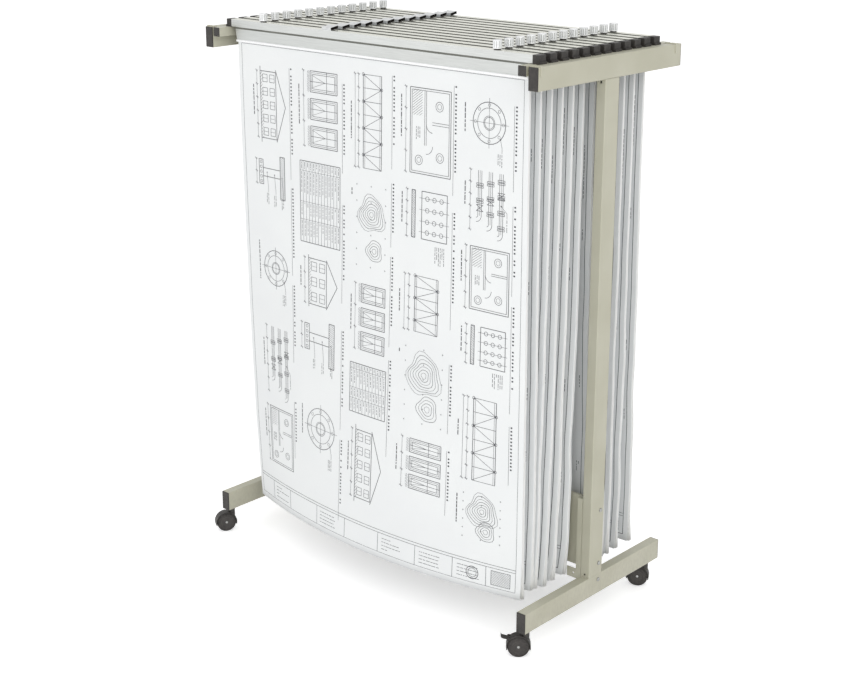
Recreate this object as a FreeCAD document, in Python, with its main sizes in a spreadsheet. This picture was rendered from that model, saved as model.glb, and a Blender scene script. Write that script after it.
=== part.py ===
import FreeCAD, Part
import os
import re

import Sketcher

# A mobile rack that stores large drawings hanging in twelve clamps.
# Millimetres, +Z up, +X to the right as seen from the front, -Y towards the front.
# The origin lies on the floor, midway between the two posts.

Vector = FreeCAD.Vector
Rotation = FreeCAD.Rotation

SIZES = {
    # steel tube frame
    "rail_top": 1352, "rail_length": 528, "foot_length": 536,
    "tube_width": 25.4, "tube_height": 50.8, "tube_wall": 1.5, "tube_round": 2,
    "foot_bottom": 63.2, "post_depth": 50.8,
    "cap_face": 2.5, "cap_inset": 0.8, "cap_plug": 12, "plug_clearance": 0.1,
    "plug_stem_gap": 1.5,
    # ledge tubes that carry the clamps
    "ledge_size": 22, "ledge_wall": 2, "ledge_gap": 5, "ledge_round": 1.2,
    "spacer_length": 24, "spacer_height": 12, "spacer_end_gap": 49,
    # clamp stops
    "stop_width": 6, "stop_thickness": 2, "stop_outer_leg": 20, "stop_inner_leg": 14,
    "front_stop_inset": 10, "rear_stop_inset": 23,
    # stretcher, brackets and bolts
    "bracket_bottom": 84, "bracket_top": 312, "bracket_steel": 2, "bracket_lip": 14,
    "lip_bottom": 103, "tab_height": 25, "tab_width": 40, "tab_hole": 2.6,
    "tab_hole_inset": 21.6,
    "stretcher_bottom": 133, "stretcher_height": 179, "stretcher_flange": 10,
    "end_tab_depth": 34, "slot_radius": 3, "slot_setback": 15, "slot_drop": 15,
    "slot_rise": 31,
    "bolt_y": 11, "bolt_top_z": 280, "bolt_middle_z": 143, "bolt_low_z": 100,
    "bolt_radius": 3, "bolt_head_radius": 5, "bolt_head_height": 2.8, "bolt_head_round": 1.7,
    "bolt_clearance": 0.2, "nut_radius": 5, "nut_height": 4,
    "screw_hole_radius": 2.8, "screw_hole_offset": 7,
    # clamps
    "clamp_count": 12, "row_front_inset": 46, "row_rear_inset": 62.9, "clamp_shift": 8,
    "channel_overhang": 13, "channel_depth": 23.4, "channel_height": 18, "channel_wall": 1.8,
    "channel_lift": 1, "jaw_end_gap": 10.6, "jaw_drop": 35.5, "jaw_plate": 2.4, "jaw_inset": 1.2,
    "groove": 4.6, "lip_radius": 3.2, "hinge_radius": 1.7, "hinge_clearance": 0.05, "socket_wall": 1.5,
    "neck_thickness": 1.4, "neck_room": 0.6, "arm_end": 5,
    "cap_length": 17, "cap_rise": 19, "cap_foot": 3.5, "cap_foot_height": 5, "cap_tongue": 9,
    "tongue_clearance": 0.25,
    "knob_inset": 104, "knob_radius": 10, "knob_height": 17.9, "knob_ring_radius": 7.4,
    "knob_ring_height": 2.8, "knob_flutes": 12, "flute_radius": 1.1, "flute_end": 2,
    "stud_radius": 2.5, "stud_length": 27, "stud_clearance": 0.08, "arm_hole_radius": 3.6,
    "holder_x": -130, "holder_length": 30, "holder_depth": 24, "holder_height": 6.6,
    "holder_wall": 1.1, "holder_tilt": 9, "holder_base": 1.2,
    # packs of sheets
    "sheet_width": 914, "sheet_length": 1219, "sheet_grip": 12, "pack_thickness": 5,
    "pack_clearance": 0.3, "curl_share": 0.31, "curl_twist": 6,
    # casters
    "caster_inset": 20, "caster_rear_inset": 40, "caster_trail": 16, "wheel_radius": 25.4,
    "wheel_width": 8.6, "web_thickness": 4.2, "wheel_side_clearance": 0.5, "hood_wall": 2.2,
    "hood_clearance": 0.9, "hood_lift": 7, "neck_radius": 9, "stem_radius": 5,
    "stem_clearance": 0.05, "stem_height": 14, "stem_depth": 12, "neck_gap": 0.5,
    "stem_nut_radius": 9, "stem_nut_height": 7,
    "axle_radius": 3, "axle_clearance": 0.05, "hub_radius": 15, "hub_recess": 0.9,
    "wheel_bevel": 1.6, "lever_width": 15, "lever_length": 19, "lever_thickness": 3,
    "lever_pivot_radius": 2.2, "lever_clearance": 0.5, "lever_slot_room": 2,
    "lever_rise": 8, "lever_angle": 140, "lever_pin_radius": 1.5, "lever_pin_reach": 2.4,
    "lever_boss_radius": 4,
    "lever_pin_clearance": 0.05,
}
CASTER_TURN = {"front_left": -30, "front_right": -50, "rear_left": -42, "rear_right": -60}
BRAKED = ("front_right", "rear_left")
# How far the lower corners of each pack stand behind its clamp, how far the middle of its
# lower edge bulges forwards of them, and how much deeper than usual its clamp grips it.
# The front half of the row passes the stretcher on one side and the rear half on the other.
PACK_LEAN = (24, 22, -3, -8, -10, -6, 23, 19, 13, 3, 7, 16)
PACK_BOW = (68, 66, 60, 58, 56, 54, 14, 13, 12, 11, 11, 12)
PACK_RAISE = (-5, 7, 5, 0, 0, 1, 2, 0, 1, -4, -3, 0)

doc = FreeCAD.newDocument("plan_hanging_rack")
sheet = doc.addObject("Spreadsheet::Sheet", "sizes")
for row, (name, number) in enumerate(SIZES.items(), start=1):
    sheet.set(f"A{row}", name)
    sheet.set(f"B{row}", str(number))
    sheet.setAlias(f"B{row}", name)
doc.recompute()

nodes = []


def ex(text):
    """A formula in the sheet's names, written the way the document wants it."""
    return re.sub(r"[a-z]\w*", lambda m: "sizes." + m[0] if m[0] in SIZES else m[0], str(text))


def value(text):
    """The number that a formula in the sheet's names gives now."""
    result = sheet.evalExpression(ex(text))
    return float(getattr(result, "Value", result))


def bind(thing, **formulas):
    for prop, text in formulas.items():
        thing.setExpression(prop, ex(text))
    return thing


def put(thing, x="0", y="0", z="0"):
    """Tie a thing's place to formulas."""
    for axis, text in (("x", x), ("y", y), ("z", z)):
        thing.setExpression("Placement.Base." + axis, ex(text))
    return thing


def node(thing, label):
    """Name a finished sub-part after its file and keep it for export."""
    thing.Label = label
    nodes.append(thing)
    return thing


def box(name, x, y, z):
    """A box between two formulas along each axis."""
    thing = doc.addObject("Part::Box", name)
    bind(thing, Length=f"({x[1]}) - ({x[0]})", Width=f"({y[1]}) - ({y[0]})",
         Height=f"({z[1]}) - ({z[0]})")
    return put(thing, x[0], y[0], z[0])


def rod(name, axis, radius, span, x="0", y="0", z="0"):
    """A cylinder along one axis, from span[0] to span[1], through the point given."""
    thing = doc.addObject("Part::Cylinder", name)
    thing.Placement = FreeCAD.Placement(Vector(), Rotation(Vector(0, 0, 1), Vector(*axis)))
    bind(thing, Radius=radius, Height=f"({span[1]}) - ({span[0]})")
    place = [x, y, z]
    place[axis.index(1)] = span[0]
    return put(thing, *place)


def fuse(name, *things):
    thing = doc.addObject("Part::MultiFuse", name)
    thing.Shapes = list(things)
    thing.Refine = True
    return thing


def cut(name, base, *tools):
    thing = doc.addObject("Part::Cut", name)
    thing.Base = base
    thing.Tool = tools[0] if len(tools) == 1 else group(name + "_tools", *tools)
    return thing


def group(name, *things):
    """Several solids that stay separate, in one object."""
    thing = doc.addObject("Part::Compound", name)
    thing.Links = list(things)
    return thing


def copy(name, source, x="0", y="0", z="0", turn=0, about=(0, 0, 1)):
    """Another of the same solid, turned about its own origin and put in its place."""
    thing = group(name, source)
    thing.Placement = FreeCAD.Placement(Vector(), Rotation(Vector(*about), turn))
    return put(thing, x, y, z)


def new_sketch(body, name, role):
    sketch = body.newObject("Sketcher::SketchObject", name)
    plane = next(item for item in body.Origin.OriginFeatures if item.Role == role)
    sketch.AttachmentSupport = [(plane, "")]
    sketch.MapMode = "FlatFace"
    return sketch


def locate(sketch, geometry, point, x, y):
    """Hold one point of a sketch at two formulas, measured from the sketch's origin."""
    for kind, text in (("DistanceX", x), ("DistanceY", y)):
        index = sketch.addConstraint(
            Sketcher.Constraint(kind, -1, 1, geometry, point, value(text)))
        sketch.setExpression(f"Constraints[{index}]", ex(text))


def outline(sketch, corners):
    """A closed outline of straight lines through the corners."""
    points = [Vector(value(x), value(y), 0) for x, y in corners]
    first = sketch.GeometryCount
    count = len(points)
    for k in range(count):
        sketch.addGeometry(Part.LineSegment(points[k], points[(k + 1) % count]), False)
    for k in range(count):
        sketch.addConstraint(
            Sketcher.Constraint("Coincident", first + k, 2, first + (k + 1) % count, 1))
    for k, (x, y) in enumerate(corners):
        locate(sketch, first + k, 1, x, y)



def prism(name, role, outlines, length):
    """A body whose outlines are padded evenly to both sides of an origin plane."""
    body = doc.addObject("PartDesign::Body", name)
    sketch = new_sketch(body, name + "_sketch", role)
    for corners in outlines:
        outline(sketch, corners)
    pad = body.newObject("PartDesign::Pad", name + "_pad")
    pad.Profile = sketch
    pad.Midplane = True
    bind(pad, Length=length)
    return body


def square(width, height, inset="0"):
    """Corners of a rectangle about the sketch's origin, drawn in by an inset."""
    x, y = f"{width}/2 - {inset}", f"{height}/2 - {inset}"
    return [(f"-({x})", f"-({y})"), (x, f"-({y})"), (x, y), (f"-({x})", y)]


def round_edges(body, name, radius, chosen):
    """Round those edges of the body for which chosen(edge) holds."""
    doc.recompute()
    tip = body.Tip
    names = [f"Edge{k}" for k, edge in enumerate(tip.Shape.Edges, start=1) if chosen(edge)]
    fillet = body.newObject("PartDesign::Fillet", name)
    fillet.Base = (tip, names)
    bind(fillet, Radius=radius)
    return body


def corner_edges(axis, first, second):
    """Test for the edges along an axis that run through the outermost corners."""
    across = [k for k in range(3) if k != axis]

    def chosen(edge):
        box = edge.BoundBox
        size = (box.XLength, box.YLength, box.ZLength)
        middle = box.Center
        return (size[axis] > 1 and max(size[k] for k in across) < 1e-6
                and abs(abs(middle[across[0]]) - value(first)) < 1e-4
                and abs(abs(middle[across[1]]) - value(second)) < 1e-4)
    return chosen


def tube(name, role, axis, width, height, wall, radius, length):
    """A rectangular tube with rounded outer corners, centred on the origin."""
    body = prism(name, role, [square(width, height), square(width, height, wall)], length)
    return round_edges(body, name + "_round", radius, corner_edges(axis, f"{width}/2", f"{height}/2"))


# ---------------------------------------------------------------- frame tubes
# The jaws are as wide as the drawings, the clamps reach past the jaws, and the two sides of
# the frame stand so far apart that the jaws hang between the ledge tubes.
jaw_length = "sheet_width"
channel_length = f"({jaw_length} + 2*channel_overhang)"
frame_width = f"({jaw_length} + 2*(jaw_end_gap + ledge_size + ledge_gap + tube_width))"
# The clamps are spread evenly along the rails.
clamp_pitch = "((rail_length - row_front_inset - row_rear_inset)/(clamp_count - 1))"
first_clamp_y = "(row_front_inset - rail_length/2)"
# The outer spacers keep clear of the clamp stops at the rails' ends.
spacer_pitch = "(rail_length/2 - spacer_end_gap)"
post_x = f"({frame_width} - tube_width)/2"
foot_top = "foot_bottom + tube_height"
rail_bottom = "rail_top - tube_height"
rail_tube = "rail_length - 2*cap_face"
foot_tube = "foot_length - 2*cap_face"
stem_front_y = "-(foot_length/2 - caster_inset)"
stem_rear_y = "foot_length/2 - caster_rear_inset"
bolt_hole = "bolt_radius + bolt_clearance"
SIDES = (("left", "-"), ("right", ""))
ENDS = (("front", "-"), ("rear", ""))


def across_x(name, radius, y, z):
    """A drill right through both posts and whatever stands beside them."""
    return rod(name, (1, 0, 0), radius, (f"-{frame_width}", frame_width), y=y, z=z)


rail_body = tube("rail_tube", "XZ_Plane", 1, "tube_width", "tube_height", "tube_wall",
                 "tube_round", rail_tube)
foot_body = tube("foot_tube", "XZ_Plane", 1, "tube_width", "tube_height", "tube_wall",
                 "tube_round", foot_tube)
post_body = tube("post_tube", "XY_Plane", 2, "tube_width", "post_depth", "tube_wall",
                 "tube_round", f"({rail_bottom}) - ({foot_top})")
ledge_body = tube("ledge_tube", "XZ_Plane", 1, "ledge_size", "ledge_size", "ledge_wall",
                  "ledge_round", "rail_length")

bolt_drills = [across_x(f"bolt_drill_{k}", bolt_hole, "bolt_y", z)
               for k, z in enumerate(("bolt_top_z", "bolt_middle_z", "bolt_low_z"))]
for side, sign in SIDES:
    x = f"{sign}({post_x})"
    node(copy(f"{side}_rail_copy", rail_body, x, z="rail_top - tube_height/2"), f"{side}_rail")

    standing = copy(f"{side}_post_copy", post_body, x,
                    z=f"(({rail_bottom}) + ({foot_top}))/2")
    holes = [rod(f"{side}_screw_hole_{k}", (0, 1, 0), "screw_hole_radius",
                 ("-post_depth", "0"), x=x, z=z)
             for k, z in enumerate((f"({rail_bottom}) - screw_hole_offset",
                                    f"({foot_top}) + screw_hole_offset"))]
    node(cut(f"{side}_post_cut", standing, *bolt_drills[:2], *holes), f"{side}_post")

    lying = copy(f"{side}_foot_copy", foot_body, x, z="foot_bottom + tube_height/2")
    bores = [rod(f"{side}_stem_bore_{k}", (0, 0, 1), "stem_radius",
                 ("0", "foot_bottom + tube_height/2"), x=x, y=y)
             for k, y in enumerate((stem_front_y, stem_rear_y))]
    node(cut(f"{side}_foot_cut", lying, bolt_drills[2], *bores), f"{side}_foot")

# ---------------------------------------------------------------- ledge tubes
ledge_x = f"{frame_width}/2 - tube_width - ledge_gap - ledge_size/2"
ledge_z = "rail_top - ledge_size/2"
for side, sign in SIDES:
    shelf = copy(f"{side}_ledge_copy", ledge_body, f"{sign}({ledge_x})", z=ledge_z)
    inner, outer = f"{ledge_x} + ledge_size/2", f"{frame_width}/2 - tube_width"
    span = (inner, outer) if sign == "" else (f"-({outer})", f"-({inner})")
    welds = [box(f"{side}_spacer_{k + 1}", span,
                 (f"{k}*{spacer_pitch} - spacer_length/2", f"{k}*{spacer_pitch} + spacer_length/2"),
                 (f"{ledge_z} - spacer_height/2", f"{ledge_z} + spacer_height/2"))
             for k in (-1, 0, 1)]
    node(fuse(f"{side}_ledge_fuse", shelf, *welds), f"{side}_ledge_tube")


# ---------------------------------------------------------------- plastic tube ends
def tube_end(name, width, height, wall, depth):
    """A moulded end: a face over the tube's end and a plug inside it, facing -Y."""
    face = box(name + "_face",
               (f"-{width}/2 + cap_inset", f"{width}/2 - cap_inset"), ("-cap_face", "0"),
               (f"-{height}/2 + cap_inset", f"{height}/2 - cap_inset"))
    inside = f"({wall} + plug_clearance)"
    plug = box(name + "_plug",
               (f"-{width}/2 + {inside}", f"{width}/2 - {inside}"), ("0", depth),
               (f"-{height}/2 + {inside}", f"{height}/2 - {inside}"))
    return fuse(name, face, plug)


tube_cap = tube_end("tube_cap", "tube_width", "tube_height", "tube_wall",
                    "caster_inset - cap_face - stem_nut_radius - plug_stem_gap")
plug_half = "(ledge_size/2 - ledge_wall - plug_clearance)"
ledge_plug = box("ledge_plug", (f"-{plug_half}", plug_half), ("0", "cap_plug"),
                 (f"-{plug_half}", plug_half))


def four_ends(label, source, x, y, z):
    """The same plastic end in both ends of the left and the right tube."""
    ends = [copy(f"{label}_{side}_{end}", source, f"{sx}({x})", f"{sy}({y})", z,
                 turn=0 if sy == "-" else 180)
            for side, sx in SIDES for end, sy in ENDS]
    node(group(label + "_group", *ends), label)


four_ends("rail_end_caps", tube_cap, post_x, f"({rail_tube})/2", "rail_top - tube_height/2")
four_ends("foot_end_caps", tube_cap, post_x, f"({foot_tube})/2", "foot_bottom + tube_height/2")
four_ends("ledge_end_plugs", ledge_plug, ledge_x, "rail_length/2", ledge_z)

# ---------------------------------------------------------------- clamp stops
stops = []
for side, sign in SIDES:
    inner, outer = "-tube_width/2 - stop_thickness", "tube_width/2 + stop_thickness"
    legs = ("stop_inner_leg", "stop_outer_leg")
    profile = [(inner, f"-{legs[0]}"), ("-tube_width/2", f"-{legs[0]}"), ("-tube_width/2", "0"),
               ("tube_width/2", "0"), ("tube_width/2", f"-{legs[1]}"), (outer, f"-{legs[1]}"),
               (outer, "stop_thickness"), (inner, "stop_thickness")]
    if sign == "-":
        profile = [(f"-({x})", z) for x, z in reversed(profile)]
    strap = prism(f"{side}_stop", "XZ_Plane", [profile], "stop_width")
    for end, y in (("front", "front_stop_inset - rail_length/2"),
                   ("rear", "rail_length/2 - rear_stop_inset")):
        stops.append(copy(f"{side}_{end}_stop", strap, f"{sign}({post_x})", y, "rail_top"))
node(group("clamp_stops_group", *stops), "clamp_stops")

# ---------------------------------------------------------------- stretcher and its brackets
post_inner = f"{frame_width}/2 - tube_width"
stretcher_y = f"{first_clamp_y} + (clamp_count/2 - 0.5)*{clamp_pitch}"
web_front = f"{stretcher_y} - stretcher_flange/2"
tab_x = f"{post_inner} - bracket_steel"
brackets = []
for side, sign in SIDES:
    def away(a, b):
        """The same two distances from the middle, on this side."""
        return (a, b) if sign == "" else (f"-({b})", f"-({a})")

    web = box(f"{side}_bracket_web", away(tab_x, post_inner),
              ("-post_depth/2", "post_depth/2"), ("bracket_bottom", "bracket_top"))
    lips = [box(f"{side}_bracket_lip_{k}", away(f"{post_inner} - bracket_lip", post_inner), y,
                ("lip_bottom", "bracket_top"))
            for k, y in enumerate((("-post_depth/2", "-post_depth/2 + bracket_steel"),
                                   ("post_depth/2 - bracket_steel", "post_depth/2")))]
    tab = box(f"{side}_bracket_tab", away(f"{post_inner} - tab_width", post_inner),
              ("-post_depth/2", "-post_depth/2 + bracket_steel"),
              ("lip_bottom", "lip_bottom + tab_height"))
    hole = rod(f"{side}_tab_hole", (0, 1, 0), "tab_hole", ("-post_depth", "0"),
               x=f"{sign}({post_inner} - tab_hole_inset)", z="lip_bottom + tab_height/2")
    folded = fuse(f"{side}_bracket_fold", web, *lips, tab)
    brackets.append(cut(f"{side}_bracket", folded, hole, *bolt_drills))
node(group("brackets_group", *brackets), "stretcher_brackets")

whole_width = (f"-({tab_x})", tab_x)
stretcher_top = "stretcher_bottom + stretcher_height"
panel = box("stretcher_web", whole_width, (web_front, f"{web_front} + bracket_steel"),
            ("stretcher_bottom", stretcher_top))
flanges = [box(f"stretcher_flange_{k}", whole_width,
               (web_front, f"{web_front} + stretcher_flange"), z)
           for k, z in enumerate((("stretcher_bottom", "stretcher_bottom + bracket_steel"),
                                  (f"{stretcher_top} - bracket_steel", stretcher_top)))]
end_tabs = [box(f"stretcher_tab_{side}", span, (web_front, f"{web_front} + end_tab_depth"),
                ("stretcher_bottom", stretcher_top))
            for side, span in (("left", (f"-({tab_x})", f"-({tab_x} - bracket_steel)")),
                               ("right", (f"{tab_x} - bracket_steel", tab_x)))]
slots = [rod(f"stretcher_slot_{side}_{k}", (0, 1, 0), "slot_radius",
             ("-post_depth", "post_depth"), x=f"{sign}({tab_x} - slot_setback)", z=z)
         for side, sign in SIDES
         for k, z in enumerate((f"{stretcher_top} - slot_drop",
                                "stretcher_bottom + slot_rise"))]
node(cut("stretcher_cut", fuse("stretcher_fold", panel, *flanges, *end_tabs),
         *bolt_drills[:2], *slots), "stretcher")


def bolt(name, grip):
    """A button-head bolt with its nut, along +X, its head's seat at the origin."""
    shank = rod(name + "_shank", (1, 0, 0), "bolt_radius", (f"-({grip}) - nut_height", "0"))
    head = rod(name + "_head", (1, 0, 0), "bolt_head_radius", ("0", "bolt_head_height"))
    nut = doc.addObject("Part::Prism", name + "_nut")
    nut.Polygon = 6
    nut.Placement = FreeCAD.Placement(Vector(), Rotation(Vector(0, 0, 1), Vector(1, 0, 0)))
    bind(nut, Circumradius="nut_radius", Height="nut_height")
    put(nut, f"-({grip}) - nut_height")
    dome = doc.addObject("Part::Fillet", name + "_dome")
    doc.recompute()
    rim = [k for k, edge in enumerate(head.Shape.Edges, start=1)
           if abs(edge.BoundBox.XMin - value("bolt_head_height")) < 1e-6
           and edge.BoundBox.XLength < 1e-6]
    dome.Base = head
    dome.Edges = [(k, value("bolt_head_round"), value("bolt_head_round")) for k in rim]
    return fuse(name, shank, dome, nut)


long_bolt = bolt("bracket_bolt", "tube_width + 2*bracket_steel")
short_bolt = bolt("foot_bolt", "tube_width + bracket_steel")
bolts = []
for side, sign in SIDES:
    for k, (source, z) in enumerate(((long_bolt, "bolt_top_z"), (long_bolt, "bolt_middle_z"),
                                     (short_bolt, "bolt_low_z"))):
        bolts.append(copy(f"{side}_bolt_{k}", source, f"{sign}{frame_width}/2", "bolt_y", z,
                          turn=180 if sign == "-" else 0))
node(group("bolts_group", *bolts), "frame_bolts")

# ---------------------------------------------------------------- casters
neck_top = "foot_bottom - neck_gap"
hood_radius = "wheel_radius + hood_clearance + hood_wall"
half_width = "web_thickness/2 + wheel_side_clearance + wheel_width"
axle_y = "-caster_trail"
stem_seat = "foot_bottom - stem_depth"
lever_y = f"{axle_y} + ({hood_radius} + lever_clearance)*cos(lever_angle)"
lever_z = f"wheel_radius + ({hood_radius} + lever_clearance)*sin(lever_angle)"

stem_parts = []
for side, sx in SIDES:
    for end, y in (("front", stem_front_y), ("rear", stem_rear_y)):
        pin = rod(f"stem_{end}_{side}", (0, 0, 1), "stem_radius",
                  (stem_seat, "foot_bottom + stem_height"), x=f"{sx}({post_x})", y=y)
        nut = rod(f"stem_nut_{end}_{side}", (0, 0, 1), "stem_nut_radius",
                  ("foot_bottom + tube_wall", "foot_bottom + tube_wall + stem_nut_height"),
                  x=f"{sx}({post_x})", y=y)
        stem_parts.append(fuse(f"stem_and_nut_{end}_{side}", pin, nut))
node(group("stems_group", *stem_parts), "caster_stems")


def hood(name, braked):
    """Housing of a twin-wheel caster: a hood over both wheels, a web between them, a neck."""
    shell = rod(name + "_shell", (1, 0, 0), hood_radius, (f"-({half_width})", half_width),
                y=axle_y, z="wheel_radius")
    neck = rod(name + "_neck", (0, 0, 1), "neck_radius", ("wheel_radius", neck_top))
    spaces = [rod(f"{name}_space_{k}", (1, 0, 0), "wheel_radius + hood_clearance", span,
                  y=axle_y, z="wheel_radius")
              for k, span in enumerate(((f"-({half_width}) - 1", "-web_thickness/2"),
                                        ("web_thickness/2", f"{half_width} + 1")))]
    below = box(name + "_below", (f"-({half_width}) - 1", f"{half_width} + 1"),
                ("-3*wheel_radius", "2*wheel_radius"), ("-wheel_radius", "wheel_radius - hood_lift"))
    bore = rod(name + "_bore", (0, 0, 1), "stem_radius + stem_clearance",
               (f"{stem_seat} - 1", "foot_bottom"))
    axle_hole = rod(name + "_axle_hole", (1, 0, 0), "axle_radius",
                    ("-wheel_width", "wheel_width"), y=axle_y, z="wheel_radius")
    tools = [*spaces, below, bore, axle_hole]
    solids = [shell, neck]
    if braked:
        gap = "lever_clearance"
        solids.append(rod(name + "_lever_boss", (1, 0, 0), "lever_boss_radius",
                          (f"-({half_width})", half_width), y=lever_y, z=lever_z))
        tools.append(rod(name + "_lever_bore", (1, 0, 0),
                         "lever_pin_radius + lever_pin_clearance",
                         (f"-({half_width}) - 1", f"{half_width} + 1"), y=lever_y, z=lever_z))
        tools.append(box(name + "_lever_slot",
                         (f"-(lever_width/2 + {gap})", f"lever_width/2 + {gap}"),
                         (f"{lever_y} - lever_length",
                          f"{lever_y} + lever_pivot_radius + 2*{gap}"),
                         (f"{lever_z} - lever_pivot_radius - 2*{gap} - lever_slot_room",
                          f"{lever_z} + lever_length")))
    return cut(name, fuse(name + "_mass", *solids), *tools)


def wheel_pair(name):
    """Two wheels turned to one profile: flat tread, bevelled rim, recessed hub."""
    inner = "web_thickness/2 + wheel_side_clearance"
    outer = f"{inner} + wheel_width"
    bore = "axle_radius + axle_clearance"
    profile = [(inner, bore), (inner, "wheel_radius - wheel_bevel"),
               (f"{inner} + wheel_bevel/2", "wheel_radius"),
               (f"{outer} - wheel_bevel", "wheel_radius"),
               (outer, "wheel_radius - wheel_bevel"), (outer, "hub_radius"),
               (f"{outer} - hub_recess", "hub_radius - 1"), (f"{outer} - hub_recess", bore)]
    wheels = []
    for side, sign in SIDES:
        body = doc.addObject("PartDesign::Body", f"{name}_{side}")
        sketch = new_sketch(body, f"{name}_{side}_sketch", "XZ_Plane")
        corners = profile if sign == "" else [(f"-({x})", z) for x, z in reversed(profile)]
        outline(sketch, corners)
        turned = body.newObject("PartDesign::Revolution", f"{name}_{side}_turned")
        turned.Profile = sketch
        turned.ReferenceAxis = (sketch, ["H_Axis"])
        turned.Angle = 360
        wheels.append(body)
    return wheels


wheel_bodies = wheel_pair("wheel")
axle_rod = rod("axle_rod", (1, 0, 0), "axle_radius",
               (f"-({half_width} - hub_recess)", f"{half_width} - hub_recess"))
lever_plate = prism("lever", "YZ_Plane",
                    [[("0", "-lever_thickness/2"), ("0", "lever_thickness/2"),
                      ("-lever_length + lever_thickness", "lever_thickness/2 + lever_rise/2"),
                      ("-lever_length", "lever_thickness/2 + lever_rise"),
                      ("-lever_length", "-lever_thickness/2 + lever_rise"),
                      ("-lever_length + lever_thickness", "-lever_thickness/2 + lever_rise/2")]],
                    "lever_width")
lever_barrel = rod("lever_barrel", (1, 0, 0), "lever_pivot_radius",
                   ("-lever_width/2", "lever_width/2"))
lever_pin = rod("lever_pin", (1, 0, 0), "lever_pin_radius",
                ("-lever_width/2 - lever_pin_reach", "lever_width/2 + lever_pin_reach"))
lever_solid = fuse("lever_solid", lever_plate, lever_barrel, lever_pin)
hoods = {False: hood("plain_hood", False), True: hood("braked_hood", True)}

for end, y in (("front", stem_front_y), ("rear", stem_rear_y)):
    for side, sign in SIDES:
        corner = f"{end}_{side}"
        angle = CASTER_TURN[corner]
        sine, cosine = f"sin({angle})", f"cos({angle})"

        def at(along, height, source, name):
            """Copy a caster piece whose own origin is that far behind the swivel axis."""
            return copy(f"{name}_{corner}", source,
                        f"{sign}({post_x}) - ({along})*{sine}", f"({y}) + ({along})*{cosine}",
                        height, turn=angle)

        node(at("0", "0", hoods[corner in BRAKED], "hood"), f"caster_{corner}_housing")
        node(at(axle_y, "wheel_radius", axle_rod, "axle"), f"caster_{corner}_axle")
        pair = [at(axle_y, "wheel_radius", body, body.Name) for body in wheel_bodies]
        node(group(f"wheels_{corner}", *pair), f"caster_{corner}_wheels")
        if corner in BRAKED:
            node(at(lever_y, lever_z, lever_solid, "lever"), f"caster_{corner}_brake_lever")

# ---------------------------------------------------------------- hanging clamps
# Built about the clamp's own middle: X along the clamp, Y through it, Z from the rail's top.
half_depth = "channel_depth/2"
roof = "channel_lift + channel_height"
tip = "-jaw_drop"
grip_face = "pack_thickness/2 + pack_clearance"
socket_bore = "hinge_radius + hinge_clearance"
socket_outer = f"{socket_bore} + socket_wall"
hinge_y = f"-channel_depth/2 + channel_wall + {socket_bore}"
hinge_z = f"channel_lift + {socket_outer}"
groove_z = "channel_lift - groove"
stud_y = "0"
knob_x = f"({channel_length}/2 - knob_inset)"

channel = prism("channel", "YZ_Plane", [[
    (f"-{half_depth}", "channel_lift"), (f"-{half_depth}", roof), (half_depth, roof),
    (half_depth, "channel_lift"), (f"{half_depth} - channel_wall", "channel_lift"),
    (f"{half_depth} - channel_wall", f"{roof} - channel_wall"),
    (f"-{half_depth} + channel_wall", f"{roof} - channel_wall"),
    (f"-{half_depth} + channel_wall", "channel_lift")]], channel_length)
rear_jaw = prism("rear_jaw", "YZ_Plane", [[
    (half_depth, "channel_lift"), (f"{half_depth} - channel_wall", "channel_lift"),
    (f"{half_depth} - channel_wall - jaw_plate/2", "0"),
    (grip_face, f"{tip} + jaw_plate"), (grip_face, tip),
    (f"{grip_face} + jaw_plate", tip), (half_depth, "-jaw_plate")]], jaw_length)
knob_drills = [rod(f"knob_drill_{side}", (0, 0, 1), "stud_radius + stud_clearance",
                   ("0", f"{roof} + 1"), x=f"{sign}({knob_x})", y=stud_y)
               for side, sign in SIDES]
jaw_span = (f"-{jaw_length}/2", f"{jaw_length}/2")
socket = rod("hinge_socket", (1, 0, 0), socket_outer, jaw_span, y=hinge_y, z=hinge_z)
socket_hole = rod("hinge_socket_bore", (1, 0, 0), socket_bore,
                  (f"-{jaw_length}/2 - 1", f"{jaw_length}/2 + 1"), y=hinge_y, z=hinge_z)
neck_half = "neck_thickness/2"
neck_slot = box("hinge_neck_slot", (f"-{jaw_length}/2 - 1", f"{jaw_length}/2 + 1"),
                (f"{hinge_y} - {neck_half} - neck_room", f"{hinge_y} + {neck_half} + neck_room"),
                ("0", hinge_z))
rear_bar = cut("rear_bar_solid", fuse("rear_bar_mass", channel, rear_jaw, socket),
               socket_hole, neck_slot, *knob_drills)

hinge_bead = rod("front_jaw_bead", (1, 0, 0), "hinge_radius", jaw_span, y=hinge_y, z=hinge_z)
jaw_plate = prism("front_jaw_plate", "YZ_Plane", [[
    (f"{hinge_y} - {neck_half}", hinge_z), (f"{hinge_y} - {neck_half}", groove_z),
    (f"-{half_depth} + jaw_inset", groove_z),
    (f"-{half_depth} + jaw_inset", f"{groove_z} - jaw_plate"),
    (f"-({grip_face}) - jaw_plate", tip), (f"-({grip_face})", tip),
    (f"-({grip_face})", f"{tip} + jaw_plate"),
    (f"{hinge_y} + {neck_half}", f"{groove_z} - 2*jaw_plate"),
    (f"{hinge_y} + {neck_half}", f"{groove_z} - jaw_plate"),
    ("arm_end", f"{groove_z} - jaw_plate"), ("arm_end", groove_z),
    (f"{hinge_y} + {neck_half}", groove_z), (f"{hinge_y} + {neck_half}", hinge_z)]],
    jaw_length)
arm_drills = [rod(f"arm_drill_{side}", (0, 0, 1), "arm_hole_radius",
                  ("-jaw_drop/2", "channel_height"), x=f"{sign}({knob_x})", y=stud_y)
              for side, sign in SIDES]
jaw_lip = rod("front_jaw_lip", (1, 0, 0), "lip_radius", jaw_span,
              y=f"-({grip_face}) - lip_radius", z=f"{tip} + lip_radius")
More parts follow.
